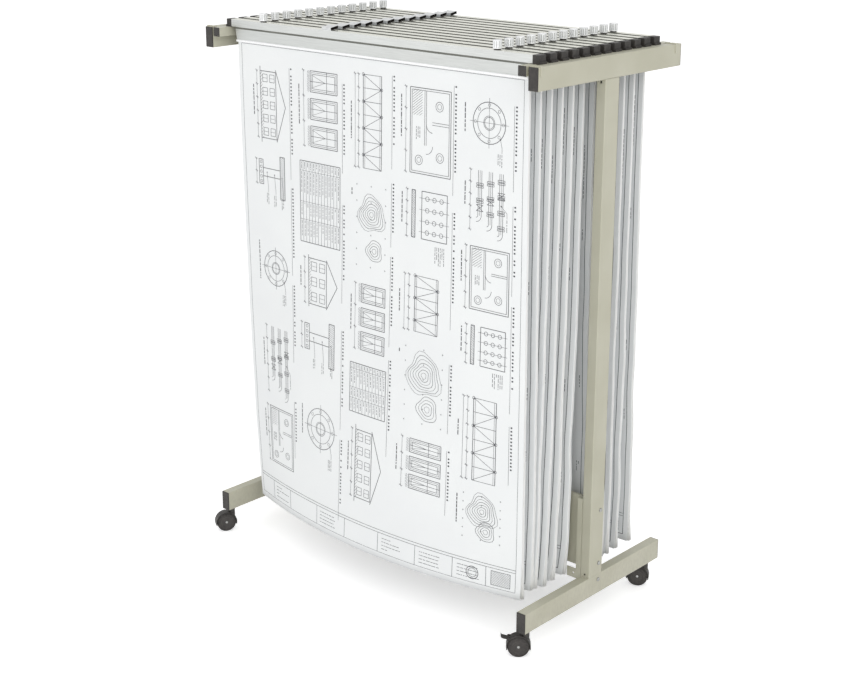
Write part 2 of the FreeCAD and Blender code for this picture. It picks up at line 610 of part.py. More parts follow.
front_jaw = cut("front_jaw_solid", fuse("front_jaw_mass", hinge_bead, jaw_plate, jaw_lip),
                *arm_drills)


def clamp_cap(name):
    """Black moulded end of a clamp: a block, a foot at its outer bottom edge, a tongue inside."""
    block = box(name + "_block", ("0", "cap_length"), (f"-{half_depth}", half_depth),
                ("0", "cap_rise"))
    foot = box(name + "_foot", ("cap_length", "cap_length + cap_foot"),
               (f"-{half_depth}", half_depth), ("0", "cap_foot_height"))
    room = "(channel_wall + tongue_clearance)"
    tongue = box(name + "_tongue", ("-cap_tongue", "0"),
                 (f"-{half_depth} + {room}", f"{half_depth} - {room}"),
                 ("channel_lift", f"{roof} - {room}"))
    return fuse(name, block, foot, tongue)


cap_solid = clamp_cap("clamp_cap")
caps = [copy(f"clamp_cap_{side}", cap_solid, f"{sign}{channel_length}/2",
             turn=180 if sign == "-" else 0) for side, sign in SIDES]


def fluted_knob(name):
    """A knurled knob on a collar, with the screw that draws the jaw's arm up."""
    collar = rod(name + "_collar", (0, 0, 1), "knob_ring_radius", ("0", "knob_ring_height"))
    grip = rod(name + "_grip", (0, 0, 1), "knob_radius",
               ("knob_ring_height", "knob_ring_height + knob_height"))
    count = int(value("knob_flutes"))
    flutes = []
    for k in range(count):
        turn = 360 * k / count
        flutes.append(rod(f"{name}_flute_{k}", (0, 0, 1), "flute_radius",
                          ("knob_ring_height + flute_end",
                           "knob_ring_height + knob_height - flute_end"),
                          x=f"knob_radius*cos({turn})", y=f"knob_radius*sin({turn})"))
    stud = rod(name + "_stud", (0, 0, 1), "stud_radius", ("-stud_length", "1"))
    return fuse(name, collar, cut(name + "_fluted", grip, *flutes), stud)


knob_solid = fluted_knob("knob_source")
knobs = [copy(f"knob_{side}", knob_solid, f"{sign}({knob_x})", stud_y, roof)
         for side, sign in SIDES]

sleeve = prism("holder_sleeve", "YZ_Plane", [square("holder_depth", "holder_height"),
               square("holder_depth", "holder_height", "holder_wall")], "holder_length")
holder_rise = "holder_depth/2*sin(holder_tilt) + holder_height/2*cos(holder_tilt)"
leaning = copy("leaning_sleeve", sleeve, "0", "0", holder_rise, turn=value("holder_tilt"),
               about=(1, 0, 0))
holder_foot = box("holder_foot", ("-holder_length/2", "holder_length/2"),
                  (f"-{half_depth}", "holder_wall"), ("0", "holder_base"))
holder_mass = fuse("index_holder_mass", leaning, holder_foot)
holder = copy("index_holder_source", holder_mass, "holder_x - clamp_shift", "0", roof)


def pack_section(name, z, left, right, middle, bow):
    """Section across a pack at one height.

    The offsets say how far behind the clamp its left end, its right end and its middle are;
    a bowed sheet keeps its length, so its two ends come closer together.
    """
    sketch = doc.addObject("Sketcher::SketchObject", name)
    half = f"(sheet_width/2 - 4/3*({bow})^2/sheet_width)"
    faces = []
    for face in ("-pack_thickness/2", "pack_thickness/2"):
        places = ((f"-{half}", left), ("0", middle), (half, right))
        points = [Vector(value(x), value(f"{y} + {face}"), 0) for x, y in places]
        index = sketch.GeometryCount
        if abs(points[0].y - points[1].y) < 1e-9:
            sketch.addGeometry(Part.LineSegment(points[0], points[2]), False)
            ends = (1, 2)
        else:
            sketch.addGeometry(Part.Arc(*points), False)
            ends = (1, 2) if sketch.Geometry[index].StartPoint.x < 0 else (2, 1)
            sketch.addGeometry(Part.Point(points[1]), True)
            locate(sketch, index + 1, 1, "0", f"{middle} + {face}")
            sketch.addConstraint(Sketcher.Constraint("PointOnObject", index + 1, 1, index))
        locate(sketch, index, ends[0], f"-{half}", f"{left} + {face}")
        locate(sketch, index, ends[1], half, f"{right} + {face}")
        faces.append((index, ends))
    (front, front_ends), (rear, rear_ends) = faces
    for a, b in zip(front_ends, rear_ends):
        edge = sketch.GeometryCount
        sketch.addGeometry(
            Part.LineSegment(sketch.getPoint(front, a), sketch.getPoint(rear, b)), False)
        sketch.addConstraint(Sketcher.Constraint("Coincident", edge, 1, front, a))
        sketch.addConstraint(Sketcher.Constraint("Coincident", edge, 2, rear, b))
    return put(sketch, z=z)


pack_straight = pack_section("pack_at_jaw", tip, "0", "0", "0", "0")


def pack(number):
    """A pack of sheets, flat between the jaws and bowed more and more towards its foot."""
    lean, bow, grip = PACK_LEAN[number], PACK_BOW[number], f"(sheet_grip + {PACK_RAISE[number]})"
    twist = "curl_twist" if number < SIZES["clamp_count"] // 2 else "0*curl_twist"
    pack_foot = f"{tip} + {grip} - sheet_length"
    offsets = (f"({lean} + {twist})", f"({lean} - {twist})", f"({lean - bow})", f"{bow}")
    head = box(f"pack_head_{number}", ("-sheet_width/2", "sheet_width/2"),
               ("-pack_thickness/2", "pack_thickness/2"), (tip, f"{tip} + {grip}"))
    halfway = pack_section(f"pack_middle_{number}", f"({tip} + {pack_foot})/2",
                           *(f"curl_share*{offset}" for offset in offsets))
    foot = pack_section(f"pack_foot_{number}", pack_foot, *offsets)
    loft = doc.addObject("Part::Loft", f"pack_drop_{number}")
    loft.Sections = [pack_straight, halfway, foot]
    loft.Solid = True
    loft.Ruled = False
    return fuse(f"pack_{number}", head, loft)


for number in range(SIZES["clamp_count"]):
    y = f"{first_clamp_y} + {number}*{clamp_pitch}"
    prefix = f"clamp_{number + 1:02d}"

    def hang(sources, name, label):
        """Put a clamp's solids where this clamp hangs."""
        thing = group(f"{prefix}_{name}_group", *sources)
        node(put(thing, "clamp_shift", y, "rail_top"), label)

    if number == 0:
        hang([rear_bar], "bar", prefix + "_rear_bar")
        hang([front_jaw], "jaw", prefix + "_front_jaw")
        hang(caps, "caps", prefix + "_end_caps")
        hang([knobs[0]], "left_knob", prefix + "_left_knob")
        hang([knobs[1]], "right_knob", prefix + "_right_knob")
        hang([holder], "holder", prefix + "_index_holder")
    else:
        hang([rear_bar, front_jaw, *caps, *knobs, holder], "bars", prefix + "_bars")
    hang([pack(number)], "pack", prefix + "_sheets")

# ---------------------------------------------------------------- checks and export
doc.recompute()
for thing in doc.Objects:
    if any(word in thing.State for word in ("Invalid", "Error")):
        raise RuntimeError(f"{thing.Name} is in state {thing.State}")
os.makedirs("parts", exist_ok=True)
for thing in nodes:
    shape = thing.Shape
    if shape.isNull() or not shape.isValid() or not shape.Solids:
        raise RuntimeError(f"{thing.Label} has no sound solid")
    shape.exportStep(f"parts/{thing.Label}.step")
    print(f"{thing.Label}: {len(shape.Solids)} solids, {shape.Volume / 1000:.2f} cm3")
print(len(nodes), "nodes")
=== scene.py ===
# %% [markdown]
# A rack on wheels that keeps large drawings hanging in twelve clamps.
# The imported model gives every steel, plastic and aluminium piece at its real place, so this
# script adds what a solid model can't show: single sheets of paper with ink on them, the
# finish of each metal and plastic, a floor, soft lamps and a camera. Lengths are in metres.

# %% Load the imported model
import math

import bpy
import numpy as np
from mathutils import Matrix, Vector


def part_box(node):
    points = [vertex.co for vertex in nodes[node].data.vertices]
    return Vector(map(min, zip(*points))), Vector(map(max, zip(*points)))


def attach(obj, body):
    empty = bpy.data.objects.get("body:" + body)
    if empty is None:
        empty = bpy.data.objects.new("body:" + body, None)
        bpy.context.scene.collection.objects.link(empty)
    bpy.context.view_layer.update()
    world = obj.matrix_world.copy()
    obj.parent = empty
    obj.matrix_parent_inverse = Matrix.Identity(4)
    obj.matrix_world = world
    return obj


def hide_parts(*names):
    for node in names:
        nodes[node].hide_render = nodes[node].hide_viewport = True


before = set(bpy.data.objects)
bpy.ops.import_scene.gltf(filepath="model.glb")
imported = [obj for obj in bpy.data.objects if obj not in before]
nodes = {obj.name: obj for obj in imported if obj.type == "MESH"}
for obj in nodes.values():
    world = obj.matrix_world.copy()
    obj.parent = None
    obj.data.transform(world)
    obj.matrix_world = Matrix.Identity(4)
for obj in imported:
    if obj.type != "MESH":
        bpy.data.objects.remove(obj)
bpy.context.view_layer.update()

# %% [markdown]
# The camera comes first, because everything after it is looked at through it.
# It could be aimed by eye, but a written place, three turns and a focal length stay the same
# each time. It stands 3.7 m off, in front of the rack and to its right, 0.4 m higher than the
# clamps, and looks down through a fairly long lens, which keeps the posts nearly parallel. A
# small shift of the lens downwards lifts the rack into the frame.

# %% Camera
IMAGE_WIDTH, FOCAL_PIXELS, SENSOR_WIDTH = 868, 1564.4, 36.0
CAMERA_PLACE, CAMERA_SHIFT, VIEW_DEPTH = (2.4869, -2.7835, 1.8121), -0.06, 60.0
CAMERA_YAW, CAMERA_PITCH, CAMERA_ROLL = 41.811, -16.593, -0.175
camera_data = bpy.data.cameras.new("camera")
camera = bpy.data.objects.new("camera", camera_data)
bpy.context.scene.collection.objects.link(camera)
camera_data.sensor_width = SENSOR_WIDTH
camera_data.lens = FOCAL_PIXELS / IMAGE_WIDTH * SENSOR_WIDTH
camera_data.shift_y = CAMERA_SHIFT
camera_data.clip_end = VIEW_DEPTH
camera.location = CAMERA_PLACE
camera.rotation_mode = "XYZ"
camera.rotation_euler = (math.radians(90 + CAMERA_PITCH), math.radians(CAMERA_ROLL),
                         math.radians(CAMERA_YAW))
bpy.context.scene.camera = camera
print("lens", round(camera_data.lens, 2), "mm")

# %% [markdown]
# A colour is easiest to write on the usual 0 to 255 scale.
# Shaders work with light instead, where twice the number is twice the light, so one small
# function turns the first into the second.


# %% Colours
def light_of(red, green, blue):
    """Linear colour of a 0-255 display colour: c/12.92 near black, ((c+0.055)/1.055)^2.4 above."""
    c = np.array((red, green, blue)) / 255.0
    linear = np.where(c <= 0.04045, c / 12.92, ((c + 0.055) / 1.055) ** 2.4)
    return (*linear.tolist(), 1.0)


print("a grey of 128 sends back", round(light_of(128, 128, 128)[0], 3), "of the light")

# %% [markdown]
# Every finish is a small tree of nodes on one shader.
# A helper that makes a node, sets its sockets and joins it to others keeps each finish as
# short as a sentence, and lets the reader see what feeds what.


# %% Node helpers
class Finish:
    """A material with one Principled shader, and short ways to add nodes in front of it."""

    def __init__(self, name, **constants):
        self.material = bpy.data.materials.new(name)
        self.material.use_nodes = True
        self.tree = self.material.node_tree
        self.shader = self.tree.nodes["Principled BSDF"]
        for socket, number in constants.items():
            title = socket.replace("_", " ").title().replace("Ior", "IOR")
            self.shader.inputs[title].default_value = number
        self.place = self.tree.nodes.new("ShaderNodeTexCoord")

    def add(self, kind, inputs=None, **settings):
        """A node of that kind: inputs feed its sockets, and settings are its properties."""
        made = self.tree.nodes.new("ShaderNode" + kind)
        for name, setting in settings.items():
            setattr(made, name, setting)
        for socket, source in (inputs or {}).items():
            self.join(source, made.inputs[socket])
        return made

    def join(self, source, socket):
        """A socket feeds the other one; a plain number or tuple is set on it."""
        if isinstance(source, bpy.types.NodeSocket):
            self.tree.links.new(source, socket)
        else:
            socket.default_value = source

    def stretched(self, x, y, z):
        """Object coordinates with each axis scaled: under 1, a texture runs long along it."""
        return self.add("Mapping", {"Vector": self.place.outputs["Object"],
                                    "Scale": (x, y, z)}).outputs[0]

    def noise(self, vector, scale, detail=3.0, roughness=0.5):
        """Cloudy noise from about 0.3 to 0.7, with features about 1/scale long."""
        return self.add("TexNoise", {"Vector": vector, "Scale": scale, "Detail": detail,
                                     "Roughness": roughness}).outputs[0]

    def spread(self, source, low, high, to_low=0.0, to_high=1.0):
        """The part of source from low to high, stretched to another range and clamped."""
        limits = {0: source, 1: low, 2: high, 3: to_low, 4: to_high}
        return self.add("MapRange", limits).outputs[0]

    def mix(self, share, first, second):
        """A colour between two, by share."""
        mixer = self.add("Mix", data_type="RGBA")
        for socket, source in ((0, share), (6, first), (7, second)):
            self.join(source, mixer.inputs[socket])
        return mixer.outputs[2]

    def bump(self, height, distance, strength=1.0):
        """Small relief from a height, without moving the surface."""
        relief = self.add("Bump", {"Height": height, "Distance": distance, "Strength": strength})
        self.join(relief.outputs[0], self.shader.inputs["Normal"])

    def colour(self, source):
        """The surface takes its colour from source."""
        self.join(source, self.shader.inputs["Base Color"])

    def roughness(self, source):
        """The surface takes its roughness from source: 0 is polished and 1 is matt."""
        self.join(source, self.shader.inputs["Roughness"])

    def mottled(self, noise, first, second, smooth, dull, low=0.35, high=0.65):
        """Colour and roughness follow one noise, from first and smooth to second and dull."""
        self.colour(self.mix(self.spread(noise, low, high), light_of(*first), light_of(*second)))
        self.roughness(self.spread(noise, low, high, smooth, dull))
        return self


def tell(*finishes):
    """Print how many nodes each finish has."""
    for finish in finishes:
        print("finish", finish.material.name, "with", len(finish.tree.nodes), "nodes")


# %% [markdown]
# The frame is rectangular steel tube with a baked powder coat, a pale putty colour.
# Powder melts into a skin with a very fine ripple, like orange peel. A picture of such a skin
# could be wrapped round the tubes, but noise has no seams and needs no picture: a fine one for
# the ripple and a wide, faint one for the small differences in colour that any painted tube
# has. Near the floor the tubes get a little dusty.

# %% Powder coat
PUTTY, PUTTY_DEEP = light_of(193, 191, 173), light_of(187, 185, 166)
PUTTY_DUST = light_of(170, 165, 150)
DUST_TOP, DUST_FULL, DUST_MOST = 0.16, 0.05, 0.5
paint = Finish("putty_powder_coat", specular_ior_level=0.45)
wide = paint.noise(paint.stretched(1, 1, 1), 9.0, 2.0)
ripple = paint.noise(paint.stretched(1, 1, 1), 900.0, 2.0)
height = paint.add("SeparateXYZ", {0: paint.place.outputs["Object"]}).outputs[2]
speck = paint.noise(paint.stretched(1, 1, 0.5), 160.0, 4.0, 0.7)
low_down = paint.spread(height, DUST_TOP, DUST_FULL, 0.0, DUST_MOST)
dusty = paint.add("Math", {0: low_down, 1: paint.spread(speck, 0.42, 0.62)},
                  operation="MULTIPLY").outputs[0]
even = paint.mix(paint.spread(wide, 0.35, 0.65), PUTTY, PUTTY_DEEP)
paint.colour(paint.mix(dusty, even, PUTTY_DUST))
paint.roughness(paint.spread(wide, 0.3, 0.7, 0.36, 0.5))
paint.bump(ripple, 0.00035, 0.35)
tell(paint)

# %% [markdown]
# Caps, hoods, brake levers and plugs are moulded in black plastic.
# The mould is spark-eroded, which leaves a fine even grain, and handling leaves it a little
# shinier in places. It is never quite black: a warm dark grey reads as plastic in light.

# %% Black plastic
black = Finish("black_moulded_plastic", specular_ior_level=0.5)
rubbed = black.noise(black.stretched(1, 1, 1), 60.0, 4.0, 0.65)
black.mottled(rubbed, (44, 41, 39), (60, 56, 52), 0.56, 0.42, 0.45, 0.75)
black.bump(black.noise(black.stretched(1, 1, 1), 1400.0, 2.0), 0.0004, 0.4)
tell(black)

# %% [markdown]
# Bolts and axles are zinc plated steel, which is brushed by handling.
# The knobs are turned from bright metal on a lathe, so their fine lines run round them: the
# noise that makes the lines is squeezed along Z. Their grooves are real shapes in the model.
# They are polished so bright that they look almost white, which a pale colour with only a
# little metal in its shader gives more surely than full metal, whose tone is what it mirrors.

# %% Bright metals
steel = Finish("plated_steel", metallic=0.9)
brushed = steel.noise(steel.stretched(1, 1, 1), 320.0)
steel.mottled(brushed, (182, 183, 182), (146, 146, 142), 0.26, 0.42).bump(brushed, 0.0002, 0.3)

knob_metal = Finish("bright_turned_metal", metallic=0.2, specular_ior_level=0.6)
turned = knob_metal.noise(knob_metal.stretched(1, 1, 5), 160.0, 2.0)
knob_metal.mottled(turned, (244, 245, 246), (232, 233, 234), 0.24, 0.36)
knob_metal.bump(turned, 0.0001, 0.1)
tell(steel, knob_metal)

# %% [markdown]
# The clamps are cut from long aluminium extrusions with a satin anodised skin.
# The die leaves faint lines along the bar, so the noise is stretched fifty times along X.
# The tops of the bars are paler and warmer: painted light, where they face the bright sky. The
# seam where the front jaw hinges is dull and darker, painted shade in its groove, and so is the
# front wall of each clamp but the first, painted shade where the clamp before it shades it. The
# rolled lip at the jaw's foot is painted near white, a painted highlight that shows as a white
# line above the paper.

# %% Anodised aluminium
aluminium = Finish("satin_anodised_aluminium", metallic=0.85)
lines = aluminium.noise(aluminium.stretched(0.02, 1, 1), 800.0, 3.0, 0.6)
patches = aluminium.noise(aluminium.stretched(0.3, 1, 1), 12.0, 2.0)
tone = aluminium.mix(aluminium.spread(lines, 0.3, 0.7), light_of(204, 206, 204),
                     light_of(192, 194, 192))
faded = aluminium.spread(patches, 0.4, 0.7, 0.0, 0.35)
aluminium.colour(aluminium.mix(faded, tone, light_of(184, 187, 185)))
aluminium.roughness(aluminium.spread(lines, 0.3, 0.7, 0.32, 0.46))
aluminium.bump(lines, 0.0003, 0.3)

# Painted shade: a darker colour for the hinge seam's groove and the shaded front walls.
painted_shade_seam = Finish("painted_shade_hinge_seam", metallic=0.3)
shade_seam_lines = painted_shade_seam.noise(painted_shade_seam.stretched(0.02, 1, 1), 600.0)
painted_shade_seam.mottled(shade_seam_lines, (128, 129, 122), (106, 107, 100), 0.5, 0.7).bump(shade_seam_lines, 0.0003, 0.3)

# Painted light: the tops of the bars take a paler, warmer colour where they face the sky.
painted_light_top = Finish("painted_light_clamp_top", metallic=0.85)
lit_top_lines = painted_light_top.noise(painted_light_top.stretched(0.02, 1, 1), 800.0, 3.0, 0.6)
painted_light_top.mottled(lit_top_lines, (228, 228, 218), (214, 214, 204), 0.3, 0.44)
painted_light_top.bump(lit_top_lines, 0.0003, 0.3)

# Painted highlight: the rolled lip is near white, where it catches the light.
painted_highlight_lip = Finish("painted_highlight_cut_lip", metallic=0.2, specular_ior_level=0.6)
highlight_lip_lines = painted_highlight_lip.noise(painted_highlight_lip.stretched(0.02, 1, 1), 700.0)
painted_highlight_lip.mottled(highlight_lip_lines, (250, 250, 250), (240, 241, 242), 0.2, 0.32)
painted_highlight_lip.bump(highlight_lip_lines, 0.0002, 0.2)
tell(aluminium, painted_shade_seam, painted_light_top, painted_highlight_lip)

# %% [markdown]
# Each clamp has a tilted window that holds an index card, in clear plastic over white card.
# It could be clear plastic with a card inside, but at its size a pale glossy plate looks the
# same from above and renders faster; its open ends and its inside are painted black as shade.

# %% Card window
window = Finish("index_card_window", specular_ior_level=0.6)
card = window.noise(window.stretched(1, 1, 1), 150.0, 3.0)
window.mottled(card, (218, 220, 220), (198, 201, 202), 0.14, 0.26).bump(card, 0.0002, 0.3)
tell(window)

# %% [markdown]
# The wheels are a hard, slightly brown plastic whose tread has met the floor.
# The tread is duller and greyer than the hub, and it is told from the hub by its distance
# from the wheel pair's middle.

# %% Wheel plastic
hub = Finish("wheel_hub_plastic", specular_ior_level=0.45)
smear = hub.noise(hub.stretched(1, 1, 1), 90.0, 4.0, 0.6)
hub.mottled(smear, (50, 47, 45), (66, 62, 59), 0.42, 0.56).bump(smear, 0.0003, 0.3)
tread = Finish("wheel_tread_plastic", specular_ior_level=0.35)
scuff = tread.noise(tread.stretched(1, 1, 1), 220.0, 4.0, 0.65)
tread.mottled(scuff, (42, 40, 39), (76, 72, 69), 0.6, 0.78, 0.42, 0.7).bump(scuff, 0.0005, 0.4)
tell(hub, tread)

# %% [markdown]
# A clamp is a bar with a channel for a roof, which carries two knobs and the card window. Below
# the channel, the front jaw hinges in a seam, and it ends in the rolled lip. These parts share
# a few meshes, so the script has to know where each one lies. The twelve clamps are alike and
# one pitch apart, so one set of measures serves them all. HAIR is a width smaller than any
# part, which keeps a face that lies right on a boundary on its own side.

# %% The clamps' measures
CLAMPS = 12
FIRST_CLAMP_Y, CLAMP_PITCH, CLAMP_SHIFT = -0.218, 0.0381, 0.008
ROOF, JAW_TIP, CHANNEL_HALF = 1.371, 1.3165, 0.470
KNOB_X, KNOB_REACH, KNOB_RADIUS = (-0.358, 0.374), 0.0112, 0.010
COLLAR_HIGH, GROOVE_INSET = 0.0028, 0.0003
WINDOW_X, WINDOW_REACH, WINDOW_TILT = -0.130, 0.0152, 9.0
WINDOW_HIGH, WINDOW_DEEP, WINDOW_WALL = 0.0066, 0.024, 0.0005
LIP_TOP, LIP_BACK, SEAM_TOP, SEAM_FOOT = 1.3231, -0.0029, 1.3535, 1.3483
HAIR = 0.0002
last_clamp_y = FIRST_CLAMP_Y + (CLAMPS - 1) * CLAMP_PITCH
print(CLAMPS, "clamps, from y =", FIRST_CLAMP_Y, "to", round(last_clamp_y, 4))

# %% [markdown]
# A mesh with several finishes could be cut into several meshes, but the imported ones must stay
# as they are. A face can have a material number instead, so the faces of a clamp are told
# apart by where they are and which way they look. A face looks along an axis when its normal's
# share along that axis is near 1, and SQUARE_ON, SIDEWAYS and HALFWAY are limits for that.

# %% Tell the faces apart
CLAMP_SLOTS = (aluminium, black, knob_metal, painted_shade_seam, painted_highlight_lip, window, painted_light_top)
BARE, BLACK, KNOB, SHADE_SEAM, HIGHLIGHT_LIP, WINDOW, LIT_TOP = range(len(CLAMP_SLOTS))
SQUARE_ON, SIDEWAYS, HALFWAY = 0.9, 0.7, 0.5


def number_faces(mesh, numbers):
    """Each face takes the material of its number; True counts as 1 and False as 0."""
    mesh.polygons.foreach_set("material_index", np.asarray(numbers, np.int32))


def dress(node, *finishes):
    """The node's material slots hold these finishes, the first one everywhere at first."""
    mesh = nodes[node].data
    mesh.materials.clear()
    for finish in finishes:
        mesh.materials.append(finish.material)
    number_faces(mesh, np.zeros(len(mesh.polygons)))
    return mesh


def of_faces(mesh, property_name):
    """The middle or the normal of every face, as three arrays x, y and z."""
    found = np.empty(len(mesh.polygons) * 3)
    mesh.polygons.foreach_get(property_name, found)
    return found.reshape(-1, 3).T


def clamp_finishes(clamp, mesh):
    """Material number of every face of a clamp's mesh: its place in CLAMP_SLOTS.

    All is bare aluminium but the top, which is painted light; the seam and the front wall of
    each clamp but the first, which are painted shade; the lip, a painted highlight; the end caps;
    the knobs, with black collars and darker bare grooves that are painted shade; and the window,
    whose ends and inside are painted black as shade. The window leans, so a face's place in it
    is turned back by the tilt: b is then its height above the window's middle, and a its
    distance behind it.
    """
    x, y, z = of_faces(mesh, "center")
    nx, ny, nz = of_faces(mesh, "normal")
    x, y = x - CLAMP_SHIFT, y - (FIRST_CLAMP_Y + clamp * CLAMP_PITCH)
    number = np.full(len(x), BARE)
    # Painted light: up-facing faces on the roof take the paler top colour.
    number[(nz > SQUARE_ON) & (z > ROOF - HAIR)] = LIT_TOP
    # Painted shade: the faces of the hinge seam's groove are darker.
    number[(z < SEAM_TOP) & (z > SEAM_FOOT) & (ny < -HALFWAY) & (y < 0)] = SHADE_SEAM
    # Painted highlight: the rolled lip at the jaw's foot is near white.
    number[(z < LIP_TOP) & (y < LIP_BACK)] = HIGHLIGHT_LIP
    # Painted shade: the front walls of all clamps but the first, shaded by the clamp before, are
    # darker.
    if clamp:
        number[(z > SEAM_TOP) & (z < ROOF - HAIR) & (ny < -HALFWAY)] = SHADE_SEAM
    number[abs(x) > CHANNEL_HALF + HAIR] = BLACK
    for knob_x in KNOB_X:
        from_knob = x + CLAMP_SHIFT - knob_x
        on_knob = (abs(from_knob) < KNOB_REACH) & (z > ROOF + HAIR / 2)
        number[on_knob] = KNOB
        in_groove = np.hypot(from_knob, y) < KNOB_RADIUS - GROOVE_INSET
        # Painted shade: the knob's grooves take the darker bare aluminium.
        number[on_knob & (abs(nz) < HALFWAY) & in_groove] = BARE
        # Painted shade: a black collar at the knob's foot, where it is in shade.
        number[on_knob & (z < ROOF + COLLAR_HIGH + HAIR / 2) & (nz < HALFWAY)] = BLACK
    tilt = math.radians(WINDOW_TILT)
    rise = z - ROOF - WINDOW_DEEP / 2 * math.sin(tilt) - WINDOW_HIGH / 2 * math.cos(tilt)
    a = y * math.cos(tilt) + rise * math.sin(tilt)
    b = -y * math.sin(tilt) + rise * math.cos(tilt)
    on_window = (abs(x + CLAMP_SHIFT - WINDOW_X) < WINDOW_REACH) & (z > ROOF + HAIR / 2)
    inside = (abs(a) < WINDOW_DEEP / 2 - WINDOW_WALL) & (abs(b) < WINDOW_HIGH / 2 - WINDOW_WALL)
    number[on_window] = WINDOW
    # Painted shade: the window's open ends and its inside are black.
    number[on_window & (inside | (abs(nx) > SIDEWAYS))] = BLACK
    return number


print("finishes on a clamp:", [finish.material.name for finish in CLAMP_SLOTS])

# %% [markdown]
# Each CAD piece now takes its finish. Most are one finish all over, by the end of their names.
# The cut ends of the ledge tubes are as black as the plugs in them, and a wheel's faces belong
# to its tread where they lie nearly as far from its middle as its radius.

# %% Give the CAD nodes their finishes
PLAIN = {"rail": paint, "post": paint, "foot": paint, "stops": paint, "brackets": paint,
         "stretcher": paint, "caps": black, "plugs": black, "housing": black, "lever": black,
         "axle": steel, "stems": steel, "bolts": steel}
CLAMP_ENDINGS = ("_bars", "_rear_bar", "_front_jaw", "_index_holder", "_knob")
TREAD_SHARE = 0.93
for name in nodes:
    endings = [ending for ending in PLAIN if name.endswith(ending)]
    if endings:
        dress(name, PLAIN[endings[0]])
    elif name.endswith("ledge_tube"):
        mesh = dress(name, paint, black)
        _, along, _ = of_faces(mesh, "normal")
        number_faces(mesh, abs(along) > SQUARE_ON)
    elif name.endswith(CLAMP_ENDINGS):
        mesh = dress(name, *CLAMP_SLOTS)
        number_faces(mesh, clamp_finishes(int(name.split("_")[1]) - 1, mesh))
    elif name.endswith("_wheels"):
        mesh = dress(name, hub, tread)
        low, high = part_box(name)
        from_middle = of_faces(mesh, "center") - np.array((low + high) / 2)[:, None]
        distance = np.linalg.norm(from_middle, axis=0)
        number_faces(mesh, distance > TREAD_SHARE * (high.z - low.z) / 2)
print("finishes given to", len(nodes), "nodes")

# %% [markdown]
# Every clamp holds a pack of drawings: about forty sheets of plan paper, 914 mm wide and
# 1219 mm long, pressed together in the jaws and free below them. Paper remembers the roll it
# came from, so a pack bows more and more towards its foot.
# Cloth simulation would drape it like fabric, but paper bends in one direction only and never
# wrinkles, so one formula is closer to it. The sheet is a surface of two numbers: u across,
# from 0 at the left edge to 1 at the right one, and v down from the jaws, from 0 to 1.

# %% How a pack hangs
SHEET_WIDTH, SHEET_LENGTH, GRIP = 0.914, 1.219, 0.012
FREE_LENGTH = SHEET_LENGTH - GRIP
CURL_SHARE, PACK_THICKNESS, FAN_OUT, RIPPLE_SEED = 0.31, 0.005, 0.9, 1000
# One value for each clamp, from the front one to the rear one: how far the corners of its foot
# lean back, how deep the foot bows, how much higher it hangs, how far it sways to the right,
# how high its ripples are, how far its lower right corner curls, and how far its right side
# turns forwards.
PACK_LEAN = np.array((24, 22, -3, -8, -10, -6, 23, 19, 13, 3, 7, 16)) / 1000
PACK_BOW = np.array((68, 66, 60, 58, 56, 54, 14, 13, 12, 11, 11, 12)) / 1000
PACK_RAISE = np.array((-5, 7, 5, 0, 0, 1, 2, 0, 1, -4, -3, 0)) / 1000
PACK_SWAY = np.array((0, 1.5, -1, 2, -2, 1, 2.5, -1.5, 2, 0, -2, 1)) / 1000
PACK_WAVE = np.array((0.7, 1.4, 1.8, 1.5, 2.0, 3.0, 2.8, 2.2, 2.4, 2.0, 2.6, 2.4)) / 1000
CORNER_CURL = np.array((7, 5, 9, 6, 12, 9, 4, 6, 9, 12, 7, 10)) / 1000
CURL_TWIST = np.where(np.arange(CLAMPS) < CLAMPS // 2, 0.006, 0.0)


